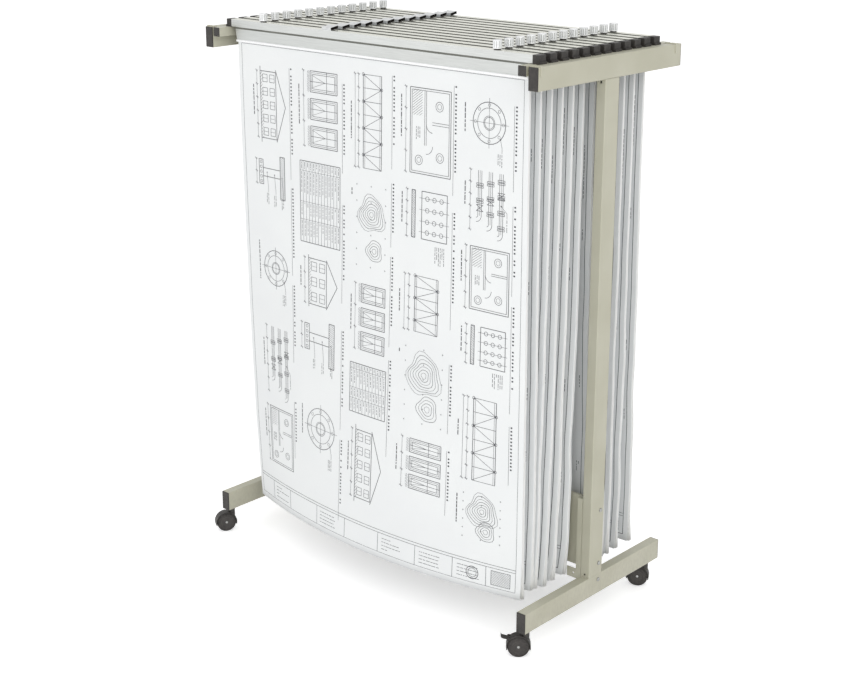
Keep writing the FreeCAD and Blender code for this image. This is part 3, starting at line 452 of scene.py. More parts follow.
def hanging(clamp, u, v, layer=0.0, slip=0.0, curl=0.0):
    """Points of one sheet of a pack, for arrays u across and v down from the jaws.

    At the foot the sheet stands behind its clamp by the lean at its corners, less a twist
    that grows to the right and a bow that is a parabola across; going down, this grows along
    another parabola from 0 over CURL_SHARE at half length to 1. A bowed sheet keeps its
    width, so its edges draw in by 4/3 bow^2 per width. Sines of v, in radians per sheet
    length, ripple its free edges, with heights that grow towards the edge and the foot. layer
    moves it through the pack, and the layers fan out towards the edges and the foot, so that
    no sheet cuts through the next one. slip lets the foot hang lower, or higher if negative,
    and curl bends the lower right corner forwards and up, as the square of the way into the
    corner. Above the jaws' tips, where v is below 0, the sheet is flat.
    """
    side, free, wave = 2 * u - 1, np.maximum(v, 0), PACK_WAVE[clamp]
    growth = free * (4 * CURL_SHARE - 1) + free**2 * (2 - 4 * CURL_SHARE)
    foot = PACK_LEAN[clamp] - CURL_TWIST[clamp] * side - PACK_BOW[clamp] * (1 - side**2)
    draw_in = 4 / 3 * (PACK_BOW[clamp] * growth) ** 2 / SHEET_WIDTH
    phase = np.random.default_rng(RIPPLE_SEED + 10 * clamp).uniform(0, 2 * math.pi, 7)
    edge = side**6 * free
    ripple = (np.sin(11 * v + phase[0]) + 0.5 * np.sin(27 * v + phase[1] + 2 * side)
              + 0.3 * np.sin(49 * v + phase[2]))
    roll = 0.25 * free * np.sin(2.6 * side + phase[3]) * np.sin(5 * v + phase[4])
    in_and_out = np.sin(19 * v + phase[5]) + 0.6 * np.sin(43 * v + phase[6])
    corner = (np.clip((side - 0.75) / 0.25, 0, 1) * np.clip((free - 0.9) / 0.1, 0, 1)) ** 2
    fan = 1 + FAN_OUT * free * (0.4 + 0.6 * side**6)
    x = (CLAMP_SHIFT + side * (SHEET_WIDTH / 2 - draw_in) + PACK_SWAY[clamp] * growth
         + 0.5 * wave * edge * in_and_out)
    y = (FIRST_CLAMP_Y + clamp * CLAMP_PITCH + foot * growth + layer * fan
         + wave * (edge * ripple + roll) - curl * corner)
    z = JAW_TIP - (FREE_LENGTH - PACK_RAISE[clamp] + slip) * v + 0.4 * curl * corner
    return np.stack(np.broadcast_arrays(x, y, z), axis=-1)


sample = hanging(0, np.array((0.0, 0.5, 1.0)), np.ones(3))
print("foot of the first pack, mm:", np.round(sample * 1000).tolist())

# %% [markdown]
# A surface of u and v has no thickness, so a sheet is that surface and a second one behind it,
# closed by a rim. The Solidify modifier could do this too, but here the arrays also say which
# faces are the rim, so that only these are shaded flat and the cut edges stay crisp.

# %% From a grid to a mesh
SHEET_GAUGE = 0.0004


def slab(front, thickness):
    """A closed slab behind a grid of points: its points, its quads, and which are its rim.

    The back face is the front one moved along the surface's own normal, which is the cross
    product of the two directions of the grid, and the rim joins the two point by point.
    """
    rows, columns = front.shape[:2]
    normal = np.cross(np.gradient(front, axis=0), np.gradient(front, axis=1))
    normal /= np.linalg.norm(normal, axis=-1, keepdims=True)
    points = np.concatenate((front.reshape(-1, 3), (front - normal * thickness).reshape(-1, 3)))
    count = rows * columns
    at = np.arange(count).reshape(rows, columns)
    faces = np.stack((at[:-1, :-1], at[1:, :-1], at[1:, 1:], at[:-1, 1:]), -1).reshape(-1, 4)
    rim = np.concatenate((at[0, :-1], at[:-1, -1], at[-1, :0:-1], at[:0:-1, 0]))
    ahead = np.roll(rim, -1)
    sides = np.stack((rim, ahead, ahead + count, rim + count), -1)
    quads = np.concatenate((faces, faces[:, ::-1] + count, sides))
    return points, quads, np.arange(len(quads)) >= 2 * len(faces)


def make_piece(name, points, faces, finish, flat=None, uv=None):
    """A mesh object at the origin from arrays of points and four-sided faces.

    flat is True for each face that is shaded flat. uv is each point's place on the flat sheet,
    in metres, and is kept as a UV map named sheet.
    """
    mesh = bpy.data.meshes.new(name)
    mesh.vertices.add(len(points))
    mesh.vertices.foreach_set("co", np.asarray(points, np.float32).ravel())
    mesh.loops.add(faces.size)
    mesh.loops.foreach_set("vertex_index", faces.astype(np.int32).ravel())
    mesh.polygons.add(len(faces))
    mesh.polygons.foreach_set("loop_start", np.arange(0, faces.size, 4, dtype=np.int32))
    mesh.update(calc_edges=True)
    smooth = np.ones(len(faces), bool) if flat is None else ~flat
    mesh.polygons.foreach_set("use_smooth", smooth)
    if uv is not None:
        mesh.uv_layers.new(name="sheet").data.foreach_set(
            "uv", uv[faces.ravel()].astype(np.float32).ravel())
    mesh.materials.append(finish.material)
    made = bpy.data.objects.new(name, mesh)
    bpy.context.scene.collection.objects.link(made)
    return made


coarse = hanging(0, *np.meshgrid((0.0, 0.5, 1.0), (0.0, 0.5, 1.0)))
print("a sheet of 3 by 3 points becomes a slab of", len(slab(coarse, SHEET_GAUGE)[1]), "faces")

# %% [markdown]
# Plan paper is smooth and white, with the faintest blue.
# Its finish has a very soft mottle from the fibres, a low sheen, and faint long waves in its
# relief where the pack isn't quite flat. The stack of cut edges is the same paper seen end on,
# so its noise is drawn out along the sheets into fine light and dark lines. The ink is a dark
# grey that is fainter in places, as a plotter's is.

# %% Paper and ink
paper = Finish("plan_paper", specular_ior_level=0.3)
fibre = paper.noise(paper.stretched(1, 1, 1), 420.0, 4.0, 0.7)
cloud = paper.noise(paper.stretched(1, 3, 1), 5.0, 2.0)
clouded = paper.mix(paper.spread(cloud, 0.35, 0.65), light_of(241, 243, 243),
                    light_of(235, 237, 238))
paper.colour(paper.mix(paper.spread(fibre, 0.3, 0.7), clouded, light_of(238, 240, 240)))
paper.roughness(paper.spread(fibre, 0.3, 0.7, 0.62, 0.74))
paper.bump(cloud, 0.004, 0.25)

paper_edge = Finish("plan_paper_edges", specular_ior_level=0.25)
stacked = paper_edge.noise(paper_edge.stretched(30, 260, 0.8), 9.0, 2.0)
paper_edge.mottled(stacked, (248, 248, 247), (232, 232, 230), 0.7, 0.85)
paper_edge.bump(stacked, 0.0004, 0.4)

ink = Finish("drawing_ink", specular_ior_level=0.3)
strength = ink.noise(ink.stretched(1, 1, 1), 90.0)
ink.mottled(strength, (44, 45, 50), (84, 85, 92), 0.55, 0.7)
tell(paper, paper_edge, ink)

# %% [markdown]
# A pack is made of its front sheet, its back sheet and the rest between them.
# The front and back sheets are single sheets with the size they were cut to. The rest is
# one piece of a few thicker leaves that slip past each other, which gives the layered edge
# that forty real sheets show without forty meshes. All share one grid of u and v, which is
# closer near the side edges, so that no layer's facets poke through the next one's.

# %% Hang the packs
ROWS, COLUMNS, BACK_SLIP = 57, 33, -0.001
LEAF_COUNT, LEAF_FILL, LEAF_SLIP, LEAF_SHIFT, LEAF_SEED = 7, 0.88, 0.003, 0.0015, 77
u_line = (1 - np.cos(np.linspace(0, math.pi, COLUMNS))) / 2
v_line = np.concatenate(([-GRIP / FREE_LENGTH], np.linspace(0, 1, ROWS - 1)))
U, V = np.meshgrid(u_line, v_line)
flat_places = np.stack((U * SHEET_WIDTH, V * FREE_LENGTH + GRIP), -1).reshape(-1, 2)


def leaves_between(clamp):
    """The leaves between a pack's outer sheets: their points, quads, and which are the rim.

    They share the room evenly, and each fills LEAF_FILL of its part. By chance, each hangs
    up to LEAF_SLIP higher and sways up to LEAF_SHIFT sideways at its foot.
    """
    chance = np.random.default_rng(LEAF_SEED + clamp)
    leaf = (PACK_THICKNESS - 2 * SHEET_GAUGE) / LEAF_COUNT
    slabs = []
    for k in range(LEAF_COUNT):
        slip = -chance.uniform(0.0, LEAF_SLIP)
        grid = hanging(clamp, U, V, -PACK_THICKNESS / 2 + SHEET_GAUGE + k * leaf, slip)
        grid[..., 0] += chance.uniform(-LEAF_SHIFT, LEAF_SHIFT) * np.maximum(V, 0)
        slabs.append(slab(grid, leaf * LEAF_FILL))
    points, quads, rims = zip(*slabs)
    quads = [faces + 2 * U.size * k for k, faces in enumerate(quads)]
    return np.concatenate(points), np.concatenate(quads), np.concatenate(rims)


front_sheets = []
for clamp in range(CLAMPS):
    label = f"clamp_{clamp + 1:02d}"
    front_sheets.append(hanging(clamp, U, V, -PACK_THICKNESS / 2, curl=CORNER_CURL[clamp]))
    back_sheet = hanging(clamp, U, V, PACK_THICKNESS / 2 - SHEET_GAUGE, BACK_SLIP)
    for place, grid in (("front", front_sheets[clamp]), ("back", back_sheet)):
        points, faces, rim = slab(grid, SHEET_GAUGE)
        sheet = make_piece(f"{label}_{place}_drawing", points, faces, paper, rim,
                           np.tile(flat_places, (2, 1)))
        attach(sheet, label)
    points, faces, rim = leaves_between(clamp)
    between = make_piece(f"{label}_drawings_between", points, faces, paper_edge, rim)
    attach(between, label)
    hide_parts(f"{label}_sheets")
print("packs hung:", CLAMPS, "with", 2 * len(faces), "triangles in each stack")

# %% [markdown]
# The drawings carry ink. A picture of a drawing could be wrapped on each sheet, but strokes
# that are shapes stay sharp from any distance. A printed line is a thin raised film, so each
# stroke here is a flat closed ribbon that lies on its sheet and follows its bow. It is worked
# out in the sheet's own flat coordinates, from its left edge and down from the jaws.
# A Drawing collects strokes, and each of its methods draws one simple thing.

# %% Strokes
FINE, THIN, MEDIUM, BOLD, HEAVY, BLOCK = 0.0006, 0.0009, 0.0011, 0.0014, 0.0024, 0.0042
ARC_STEP = 15
SLASH, TICK = 0.003, 0.005
NOTE_BARS, NOTE_GAPS, NOTE_PITCH, ROW_ENDS = (0.003, 0.012), (0.0015, 0.003), 0.0052, 0.05
MARK_PITCH, MARK_SHARE, MARKS_CLOSE = 0.0085, 0.42, 0.85
LEADER_DOT, LEADER_END, LEADER_GAP, LEADER_NOTE = 0.0012, 0.012, 0.014, 0.028


class Drawing:
    """A list of straight strokes, each with its two ends and its width, on one flat sheet."""

    def __init__(self, seed):
        self.strokes = []
        self.chance = np.random.default_rng(seed)
        self.move = (0.0, 0.0, 0.0)

    def at(self, x, y, turn=90.0):
        """The strokes that follow are moved to x, y and turned by that many degrees."""
        self.move = (x, y, math.radians(turn))
        return self

    def line(self, *points, width=THIN):
        """Strokes from point to point."""
        x0, y0, turn = self.move
        c, s = math.cos(turn), math.sin(turn)
        placed = [(x0 + c * x - s * y, y0 + s * x + c * y) for x, y in points]
        self.strokes += [(*a, *b, width) for a, b in zip(placed, placed[1:])]
        return self

    def box(self, x, y, wide, high, width=THIN):
        """A rectangle from its upper left corner."""
        corners = ((x, y), (x + wide, y), (x + wide, y + high), (x, y + high), (x, y))
        return self.line(*corners, width=width)

    def arc(self, x, y, radius, start=0, end=360, width=THIN, wobble=0.0):
        """A circle or part of one, in strokes of ARC_STEP degrees.

        wobble adds two sines, of three and of five waves a turn, to its radius, by that share.
        """
        turns = np.radians(np.linspace(start, end, max(3, int(abs(end - start) / ARC_STEP) + 1)))
        reach = radius * (1 + wobble * (np.sin(3 * turns + 40 * wobble) + 0.6 * np.sin(5 * turns)))
        return self.line(*zip(x + reach * np.cos(turns), y + reach * np.sin(turns)), width=width)

    def hatch(self, x, y, wide, high, pitch=0.005, slant=0.8):
        """Slanting lines that fill a box, each cut off where it would leave it."""
        for shift in np.arange(pitch - high * slant, wide, pitch):
            low, deep = max(0.0, -shift / slant), min(high, (wide - shift) / slant)
            if deep > low:
                self.line((x + shift + low * slant, y + low), (x + shift + deep * slant, y + deep),
                          width=FINE)
        return self

    def section(self, x, y, wide, high, pitch=0.005):
        """A part that is cut through: a bold box, filled by slanting lines."""
        return self.box(x, y, wide, high, BOLD).hatch(x, y, wide, high, pitch)

    def measure(self, x, y, length, ticks=1):
        """A dimension line with a slash at each end and between."""
        self.line((x, y), (x + length, y), width=FINE)
        for tick in np.linspace(x, x + length, ticks + 1):
            self.line((tick - SLASH, y + SLASH), (tick + SLASH, y - SLASH))
            self.line((tick, y - TICK), (tick, y + TICK), width=FINE)
        return self

    def notes(self, x, y, wide, rows=1, pitch=NOTE_PITCH, width=MEDIUM):
        """Rows of short bars of uneven length, in place of written notes."""
        for row in range(rows):
            left, level = 0.0, y + row * pitch
            while left < wide - NOTE_BARS[0]:
                bar = min(self.chance.uniform(*NOTE_BARS), wide - left)
                self.line((x + left, level), (x + left + bar, level), width=width)
                left += bar + self.chance.uniform(*NOTE_GAPS)
                if self.chance.random() < ROW_ENDS:
                    break
        return self

    def title(self, x, y, wide):
        """One row of heavy bars, in place of a title."""
        return self.notes(x, y, wide, width=HEAVY)

    def marks(self, x, y, length):
        """A dotted row: one small block after another, with a wider gap here and there."""
        at = 0.0
        while at < length:
            self.line((x + at, y), (x + at + MARK_SHARE * MARK_PITCH, y), width=BLOCK)
            at += MARK_PITCH * (1 if self.chance.random() < MARKS_CLOSE else 2)
        return self

    def leader(self, x, y, over, up, rows=2):
        """A thin line from a dot to the side, a short level end, and a note on it."""
        self.line((x, y), (x + over, y - up), (x + over + LEADER_END, y - up), width=FINE)
        self.arc(x, y, LEADER_DOT)
        return self.notes(x + over + LEADER_GAP, y - up, LEADER_NOTE, rows)


print("a circle takes", len(Drawing(0).arc(0, 0, 1).strokes), "strokes")

# %% [markdown]
# The picture is a made-up set of plain building and workshop details. Each detail is a
# function that draws inside a box of any width w and height h, so that a sheet can be filled
# with them in columns without one running into the next. A number times w or h is a share of
# the box; any other is a length on the sheet. The first four details are of buildings.


# %% Details of buildings
def house_front(d, w, h):
    """A plain building: ground line, outline, two rows of windows, a hatched foot and a roof."""
    bays, top, ground = max(3, int(w / 0.035)), 0.32 * h, 0.76 * h
    d.line((0, ground), (w, ground), width=BOLD).box(0.06 * w, top, 0.88 * w, ground - top, BOLD)
    pitch = 0.88 * w / bays
    for row in (0.36, 0.56):
        for k in range(bays):
            x = 0.06 * w + (k + 0.22) * pitch
            d.box(x, row * h, 0.56 * pitch, 0.13 * h)
            d.line((x + 0.28 * pitch, row * h), (x + 0.28 * pitch, (row + 0.13) * h), width=FINE)
    d.line((0.03 * w, top), (0.5 * w, 0.06 * h), (0.97 * w, top), width=BOLD)
    d.hatch(0.06 * w, 0.70 * h, 0.88 * w, 0.05 * h, 0.008, 1.2)
    d.measure(0.06 * w, 0.86 * h, 0.88 * w, bays).title(0.25 * w, 0.96 * h, 0.4 * w)


def room_plan(d, w, h):
    """Rooms from above: double outer walls, partitions, door swings and round tables."""
    high = 0.8 * h
    d.box(0, 0, w, high, BOLD).box(0.005, 0.005, w - 0.01, high - 0.01)
    for x in (0.38, 0.41):
        d.line((x * w, 0.005), (x * w, 0.45 * high))
    for y in (0.60, 0.64):
        d.line((0.005, y * high), (0.66 * w, y * high))
    d.arc(0.41 * w, 0.45 * high, 0.15 * high, 0, 90)
    d.arc(0.66 * w, 0.60 * high, 0.16 * high, -90, 0)
    for x, y in ((0.78, 0.26), (0.19, 0.28), (0.84, 0.78)):
        d.arc(x * w, y * high, 0.09 * high).arc(x * w, y * high, 0.05 * high, width=FINE)
    d.hatch(0.02 * w, 0.70 * high, 0.30 * w, 0.24 * high, 0.006, 0.7)
    d.notes(0.45 * w, 0.76 * high, 0.15 * w, 3)
    d.measure(0, 0.89 * h, w, 4).title(0.1 * w, 0.98 * h, 0.5 * w)


def wall_corner(d, w, h):
    """A hatched floor on a wall, in section, with a footing, bolts and leaders to notes."""
    d.section(0, 0.12 * h, 0.62 * w, 0.13 * h).box(0.2 * w, 0.25 * h, 0.12 * w, 0.5 * h, BOLD)
    d.box(0.08 * w, 0.75 * h, 0.36 * w, 0.12 * h, BOLD)
    for k in range(5):
        d.arc((0.12 + 0.07 * k) * w, 0.81 * h, 0.02 * w)
    for k in range(3):
        d.leader((0.3 - 0.02 * k) * w, (0.2 + 0.22 * k) * h, 0.22 * w, 0.03 * h)
    d.measure(0.08 * w, 0.95 * h, 0.36 * w, 2)


def window_details(d, w, h):
    """Three windows of nested frames with cross bars and a hatched sill."""
    for k in range(3):
        x, wide = (0.02 + 0.34 * k) * w, 0.26 * w
        middle = x + wide / 2
        for inset, width in ((0, BOLD), (0.004, FINE), (0.008, THIN)):
            d.box(x + inset, 0.06 * h + inset, wide - 2 * inset, 0.62 * h - 2 * inset, width)
        d.line((middle, 0.06 * h), (middle, 0.68 * h)).line((x, 0.3 * h), (x + wide, 0.3 * h))
        d.line((x + 0.01, 0.64 * h), (middle, 0.34 * h), (x + wide - 0.01, 0.64 * h), width=FINE)
        d.hatch(x, 0.7 * h, wide, 0.05 * h, 0.004)
    d.measure(0.02 * w, 0.84 * h, 0.94 * w, 3).title(0.2 * w, 0.95 * h, 0.5 * w)


# %% [markdown]
# The next four details are of metal parts. Round things are rings of short strokes, and each
# pipe, post or hole of a row is drawn by the same line of code, moved along by a loop.


# %% Details of metal parts
def flange(d, w, h):
    """A round flange: rings, eight holes, long centre lines and a short note."""
    reach, x, y = 0.36 * min(w, h), 0.4 * w, 0.45 * h
    d.arc(x, y, reach, width=BOLD)
    for share in (0.72, 0.34, 0.28):
        d.arc(x, y, share * reach)
    out = 0.86 * reach
    for turn in np.radians(np.arange(0, 360, 45)):
        d.arc(x + out * math.cos(turn), y + out * math.sin(turn), 0.07 * reach, width=FINE)
    d.line((x - 1.2 * reach, y), (x + 1.2 * reach, y), width=FINE)
    d.line((x, y - 1.2 * reach), (x, y + 1.2 * reach), width=FINE)
    d.leader(x + 0.7 * reach, y - 0.7 * reach, 0.4 * reach, 0.1 * reach, 3)
    d.title(0.1 * w, 0.95 * h, 0.5 * w)


def girder(d, w, h):
    """A flat lattice girder: posts, diagonals, and a small ring where each diagonal starts."""
    bays, top, foot = max(5, int(w / 0.03)), 0.2 * h, 0.66 * h
    for y, width in ((top, BOLD), (top + 0.005, FINE), (foot, BOLD), (foot - 0.005, FINE)):
        d.line((0, y), (w, y), width=width)
    xs = np.linspace(0, w, bays + 1)
    for k, x in enumerate(xs):
        d.line((x, top), (x, foot))
        if k < bays:
            d.line((x, (foot, top)[k % 2]), (xs[k + 1], (top, foot)[k % 2]))
            d.arc(x, (foot, top)[k % 2], 0.0035)
    d.measure(0, 0.78 * h, w, bays).measure(0, 0.87 * h, w, 1).title(0.3 * w, 0.97 * h, 0.4 * w)


def pipe_run(d, w, h):
    """Three pipes side by side with flanges, valves drawn as two triangles, and a bend."""
    for k, y in enumerate((0.18 * h, 0.4 * h, 0.62 * h)):
        end, bore = (0.95 - 0.12 * k) * w, 0.035 * h
        d.line((0, y - bore), (end, y - bore)).line((0, y + bore), (end, y + bore))
        d.line((0, y), (end, y), width=FINE)
        for x in np.arange(0.1 + 0.05 * k, 0.85 - 0.1 * k, 0.24) * w:
            d.box(x, y - 2 * bore, 0.004, 4 * bore).box(x + 0.006, y - 2 * bore, 0.004, 4 * bore)
        x = (0.3 + 0.12 * k) * w
        d.line((x, y - 2 * bore), (x + 0.014, y + 2 * bore), (x + 0.014, y - 2 * bore),
               (x, y + 2 * bore), (x, y - 2 * bore))
        d.arc(end, y + 2 * bore, 3 * bore, -90, 0).arc(end, y + 2 * bore, bore, -90, 0)
    d.leader(0.5 * w, 0.18 * h, 0.1 * w, 0.12 * h, 1).measure(0, 0.82 * h, 0.95 * w, 5)
    d.title(0.2 * w, 0.93 * h, 0.4 * w)


def bolted_plate(d, w, h):
    """A plate with a grid of holes, its centre lines, and its hatched section below."""
    d.box(0.05 * w, 0.05 * h, 0.62 * w, 0.5 * h, BOLD)
    for x in (0.14, 0.29, 0.44, 0.58):
        d.line((x * w, 0.01 * h), (x * w, 0.6 * h), width=FINE)
        for y in (0.16, 0.3, 0.44):
            d.arc(x * w, y * h, 0.035 * h)
    d.section(0.05 * w, 0.68 * h, 0.62 * w, 0.07 * h, 0.004)
    d.notes(0.74 * w, 0.1 * h, 0.24 * w, 6).measure(0.05 * w, 0.85 * h, 0.62 * w, 4)
    d.title(0.1 * w, 0.95 * h, 0.4 * w)


# %% [markdown]
# The last two are a plot of ground, whose wavy rings are circles with two sines on their
# radius, and a table, whose boxes are as many as its height has room for. DETAILS then gives
# the order in which a sheet is filled, which keeps two of a kind apart.


# %% Ground, a table and the order of details
def height_map(d, w, h):
    """Uneven ground from above: wavy closed rings round two hills, and small crosses."""
    for x, y, reach, rings in ((0.36, 0.44, 0.34, 7), (0.76, 0.36, 0.2, 4)):
        for k in range(1, rings + 1):
            d.arc(x * w, y * h, reach * min(w, h) * k / rings, width=FINE if k % 2 else THIN,
                  wobble=0.05 + 0.01 * k)
    for x in np.linspace(0.05, 0.95, 6):
        for y in (0.08, 0.45, 0.82):
            d.line((x * w - 0.002, y * h), (x * w + 0.002, y * h), width=FINE)
            d.line((x * w, y * h - 0.002), (x * w, y * h + 0.002), width=FINE)
    d.title(0.1 * w, 0.95 * h, 0.6 * w)


def parts_table(d, w, h):
    """A ruled table with a short bar of notes in most boxes."""
    rows, shares = max(5, int(h / 0.011)), (0, 0.12, 0.5, 0.72, 1)
    d.box(0, 0, w, 0.95 * h, BOLD)
    for y in np.linspace(0, 0.95 * h, rows + 1)[1:-1]:
        d.line((0, y), (w, y), width=FINE)
    for share in shares[1:-1]:
        d.line((share * w, 0), (share * w, 0.95 * h), width=FINE)
    for low, high in zip(shares, shares[1:]):
        room, pitch = 0.7 * (high - low) * w, 0.95 * h / rows
        d.notes(low * w + 0.003, 0.5 * 0.95 * h / rows, room, rows, pitch)


DETAILS = (house_front, wall_corner, flange, pipe_run, room_plan, bolted_plate, girder, height_map,
           window_details, parts_table)
print("details to draw from:", len(DETAILS))

# %% [markdown]
# A whole sheet is a border, a table of boxes along its foot, and five columns of details, all
# turned on their side, because the sheet hangs by its short edge. The sheets further back show
# only a narrow strip near their right edge, so they could be left blank, but their edges are
# what the eye counts: they carry a bolder border, the table and a few notes there.

# %% Two kinds of sheet
BORDER_LEFT, BORDER_TOP, BORDER_RIGHT, BORDER_FOOT = 0.012, 0.002, 0.014, 0.016
TABLE_HIGH, DOUBLE_LINE = 0.05, 0.007
TABLE_WALLS = (0.08, 0.17, 0.3, 0.42, 0.55, 0.68, 0.8, 0.9)
TABLE_NOTES, STAMP_SHARE, SHADED_SHARE = (0.09, 0.31, 0.56, 0.69, 0.81), 0.86, 0.915
COLUMN_EDGES = (0.030, 0.190, 0.370, 0.530, 0.715, 0.885)
COLUMN_TOP, COLUMN_FULL, COLUMN_FOOT = 0.028, 1.0, 1.115
COLUMN_INSET, COLUMN_GAP = 0.018, 0.034
DETAIL_GAP, DETAIL_LENGTHS, SKIPPED = 0.03, (0.15, 0.25), 3
MARKS_INSET, MARKS_FROM, MARKS_TO = 0.004, (0.03, 0.10), 0.95
MARKS_LENGTHS, MARKS_GAPS = (0.10, 0.22), (0.02, 0.12)
UNDERLINE_DROP, UNDERLINE_SHARE = 0.006, 1.3
STRIP_INSET, FRONT_SEED, STRIP_SEED = 0.022, 5, 40


def border_and_table(d, width):
    """A frame of lines of that width, and a table with a double line above it at its foot."""
    right, foot = SHEET_WIDTH - BORDER_RIGHT, FREE_LENGTH - BORDER_FOOT
    d.at(0, 0, 0).box(BORDER_LEFT, BORDER_TOP, right - BORDER_LEFT, foot - BORDER_TOP, width)
    for rise in (TABLE_HIGH, TABLE_HIGH + DOUBLE_LINE):
        d.line((BORDER_LEFT, foot - rise), (right, foot - rise))
    for share in TABLE_WALLS:
        d.line((SHEET_WIDTH * share, foot - TABLE_HIGH), (SHEET_WIDTH * share, foot))
    for share in TABLE_NOTES:
        d.notes(SHEET_WIDTH * share + 0.004, foot - 0.038, 0.06, 4, 0.009)
    stamp_x, stamp_y = SHEET_WIDTH * STAMP_SHARE, foot - 0.025
    d.arc(stamp_x, stamp_y, 0.016, width=BOLD).arc(stamp_x, stamp_y, 0.011)
    shaded = (SHEET_WIDTH * SHADED_SHARE, foot - 0.043, 0.05, 0.036)
    d.box(*shaded).hatch(*shaded)


def full_sheet(seed):
    """Five columns of details: each column is cut into boxes of uneven length, filled in turn.

    At the right of each column runs a dotted row of marks, with a line beside it.
    """
    d = Drawing(seed)
    border_and_table(d, FINE)
    turn = 0
    for left, right in zip(COLUMN_EDGES, COLUMN_EDGES[1:]):
        low = COLUMN_TOP + d.chance.uniform(0, DETAIL_GAP)
        while low < COLUMN_FULL:
            length = min(d.chance.uniform(*DETAIL_LENGTHS), COLUMN_FOOT - low)
            draw_detail = DETAILS[turn % len(DETAILS)]
            d.at(right - COLUMN_INSET, low)
            draw_detail(d, length - DETAIL_GAP, right - left - COLUMN_GAP)
            low += length
            turn += 1
        turn += SKIPPED
        start = d.chance.uniform(*MARKS_FROM)
        while start < MARKS_TO:
            length = d.chance.uniform(*MARKS_LENGTHS)
            underline = UNDERLINE_SHARE * length
            d.at(right - MARKS_INSET, start).marks(0, 0, length)
            d.line((0, UNDERLINE_DROP), (underline, UNDERLINE_DROP), width=FINE)
            start += underline + d.chance.uniform(*MARKS_GAPS)
    return d


def strip_sheet(seed):
    """What shows of a sheet further back: its border, its table and a few notes at the right."""
    d = Drawing(seed)
    border_and_table(d, BOLD)
    right = SHEET_WIDTH - STRIP_INSET
    d.at(right, d.chance.uniform(0.05, 0.2)).notes(0, 0, d.chance.uniform(0.06, 0.14), 5)
    for start in (0.35, 0.6, 0.85):
        d.at(right, start + d.chance.uniform(0, 0.15))
        d.notes(0, 0, 0.03, int(d.chance.integers(1, 4)))
    return d


drawings = [full_sheet(FRONT_SEED)] + [strip_sheet(STRIP_SEED + k) for k in range(1, CLAMPS)]
print("strokes in each drawing:", [len(drawing.strokes) for drawing in drawings])

# %% [markdown]
# To put a stroke on its sheet, it is cut into short steps, and every step end becomes four
# corners: half the width to either side, a hair in front of the paper and half a hair inside
# it. The corners of all the steps, joined, are one long thin closed box. A flat place is
# carried onto the sheet through the same grid of points that made it, so the two can't drift.

# %% Put the ink on
STROKE_STEP, INK_RISE, SHORTEST = 0.025, 0.0003, 1e-6


def on_sheet(grid, places):
    """Points at flat places (x, y): the four corners of the grid's cell there, blended."""
    u = np.interp(places[..., 0] / SHEET_WIDTH, u_line, np.arange(COLUMNS))
    v = np.interp(places[..., 1] / FREE_LENGTH, v_line, np.arange(ROWS))
    i, j = np.minimum(v.astype(int), ROWS - 2), np.minimum(u.astype(int), COLUMNS - 2)
    a, b = (v - i)[..., None], (u - j)[..., None]
    return ((1 - a) * ((1 - b) * grid[i, j] + b * grid[i, j + 1])
            + a * ((1 - b) * grid[i + 1, j] + b * grid[i + 1, j + 1]))


def ink_mesh(strokes, grid):
    """All strokes as closed boxes of points and quads; strokes with as many steps go together."""
    strokes = np.array(strokes)
    along = strokes[:, 2:4] - strokes[:, :2]
    length = np.hypot(*along.T)
    strokes, along, length = (a[length > SHORTEST] for a in (strokes, along, length))
    side = np.stack((-along[:, 1], along[:, 0]), -1) / length[:, None] * strokes[:, 4:] / 2
    steps = np.maximum(1, (length / STROKE_STEP).astype(int))
    rise = np.array((0.0, -INK_RISE, 0.0))
    points, faces, count = [], [], 0
    for number in np.unique(steps):
        chosen = steps == number
        t = np.linspace(0, 1, number + 1)[:, None]
        middle = strokes[chosen, None, :2] + along[chosen, None] * t
        left = on_sheet(grid, middle + side[chosen, None])
        right = on_sheet(grid, middle - side[chosen, None])
        rings = np.stack((left + rise, right + rise, right - rise / 2, left - rise / 2), 2)
        at = count + np.arange(rings[..., 0].size).reshape(rings.shape[:3])
        ahead = np.roll(at, -1, axis=2)
        walls = np.stack((at[:, :-1], at[:, 1:], ahead[:, 1:], ahead[:, :-1]), -1)
        faces += [walls.reshape(-1, 4), at[:, 0], at[:, -1, ::-1]]
        points.append(rings.reshape(-1, 3))
        count += at.size
    return np.concatenate(points), np.concatenate(faces)


for clamp, drawing in enumerate(drawings):
    label = f"clamp_{clamp + 1:02d}"
    points, faces = ink_mesh(drawing.strokes, front_sheets[clamp])
    print_on_sheet = make_piece(f"{label}_ink", points, faces, ink, np.ones(len(faces), bool))
    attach(print_on_sheet, label)
    if clamp < 2:
        print(print_on_sheet.name, len(drawing.strokes), "strokes,", 2 * len(faces), "triangles")

# %% [markdown]
# The floor is plain and nearly white and keeps the rack's soft shadow.
# A white floor lit from above still looks grey where it is far away and seen at a low angle,
# so it glows a little, but only for rays that come from the camera, or from it by way of metal
# or glass. That way the glow shows in the picture and in what shines, and lights nothing else.

# %% Floor
FLOOR_REACH, FLOOR_GLOW = 45.0, 0.45
floor_finish = Finish("studio_floor", specular_ior_level=0.1, roughness=0.8)
shade = floor_finish.noise(floor_finish.stretched(1, 1, 1), 3.0, 2.0)
floor_finish.colour(floor_finish.mix(floor_finish.spread(shade, 0.3, 0.7), light_of(250, 250, 250),
                                     light_of(248, 248, 248)))


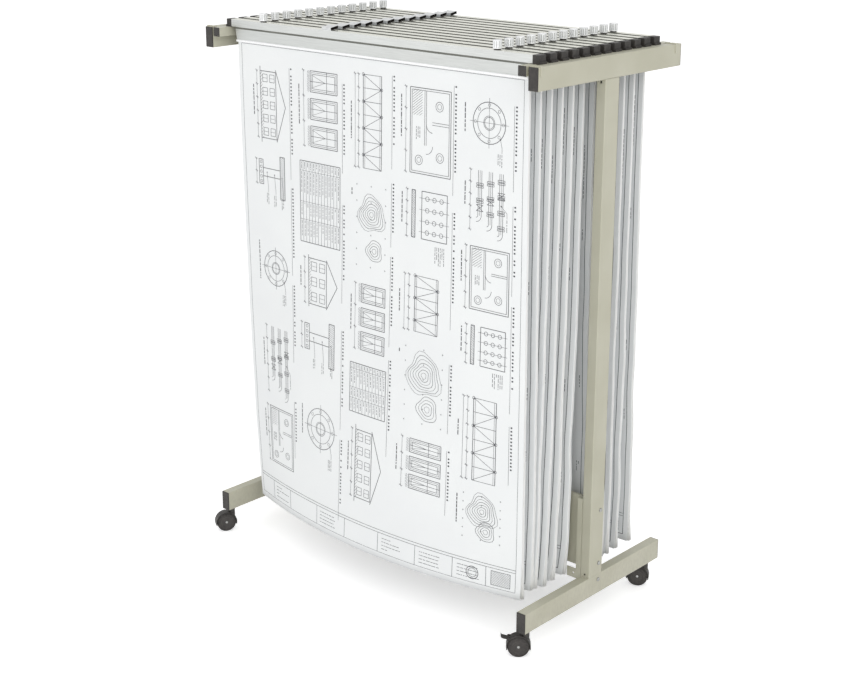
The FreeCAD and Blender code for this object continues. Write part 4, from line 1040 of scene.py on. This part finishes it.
def seen_by_camera(tree):
    """1 for rays from the camera, straight or by way of metal or glass, and 0 for all others."""
    rays = tree.nodes.new("ShaderNodeLightPath")
    seen = rays.outputs["Is Camera Ray"]
    for kind in ("Is Glossy Ray", "Is Transmission Ray"):
        either = tree.nodes.new("ShaderNodeMath")
        either.operation = "MAXIMUM"
        tree.links.new(seen, either.inputs[0])
        tree.links.new(rays.outputs[kind], either.inputs[1])
        seen = either.outputs[0]
    return seen


glow = floor_finish.spread(seen_by_camera(floor_finish.tree), 0, 1, 0, FLOOR_GLOW)
floor_finish.shader.inputs["Emission Color"].default_value = (1.0, 1.0, 1.0, 1.0)
floor_finish.join(glow, floor_finish.shader.inputs["Emission Strength"])
floor_corners = np.array(((-1, -1, 0), (1, -1, 0), (1, 1, 0), (-1, 1, 0))) * FLOOR_REACH
floor = make_piece("studio_floor", floor_corners, np.array(((0, 1, 2, 3),)), floor_finish)
print("floor:", 2 * FLOOR_REACH, "m wide")

# %% [markdown]
# The light is a studio's: even light from white walls all round, and two broad lamps.
# Small lamps would throw hard shadows of every clamp, so these are metres wide. The stronger
# one stands in front on the right and makes the faces on that side brighter. The weaker one
# stands in front on the left and keeps the first drawing clear.

# %% World and lamps
SKY_LIGHT = 0.72
KEY_PLACE, KEY_SIDE, KEY_WATTS = (3.4, -3.15, 2.8), 5.0, 88.0
FRONT_PLACE, FRONT_SIDE, FRONT_WATTS = (-2.4, -4.2, 2.2), 3.0, 22.0
MIDDLE = (0.0, 0.0, 0.7)
world = bpy.data.worlds.new("studio")
bpy.context.scene.world = world
world.use_nodes = True
sky = world.node_tree.nodes["Background"]
sky.inputs["Color"].default_value = (1.0, 1.0, 1.0, 1.0)
level = world.node_tree.nodes.new("ShaderNodeMapRange")
level.inputs["To Min"].default_value, level.inputs["To Max"].default_value = SKY_LIGHT, 1.0
world.node_tree.links.new(seen_by_camera(world.node_tree), level.inputs["Value"])
world.node_tree.links.new(level.outputs[0], sky.inputs["Strength"])


def soft_lamp(name, place, target, side, watts):
    """A square area lamp of that side, turned from its place towards a target."""
    lamp_data = bpy.data.lights.new(name, "AREA")
    lamp_data.shape, lamp_data.size, lamp_data.energy = "SQUARE", side, watts
    lamp = bpy.data.objects.new(name, lamp_data)
    bpy.context.scene.collection.objects.link(lamp)
    lamp.location = place
    away = np.array(place) - np.array(target)
    lamp.rotation_euler = (math.acos(away[2] / np.linalg.norm(away)), 0.0,
                           math.atan2(away[1], away[0]) + math.pi / 2)


soft_lamp("key_lamp", KEY_PLACE, MIDDLE, KEY_SIDE, KEY_WATTS)
soft_lamp("front_lamp", FRONT_PLACE, MIDDLE, FRONT_SIDE, FRONT_WATTS)
bpy.context.scene.view_settings.view_transform = "Standard"
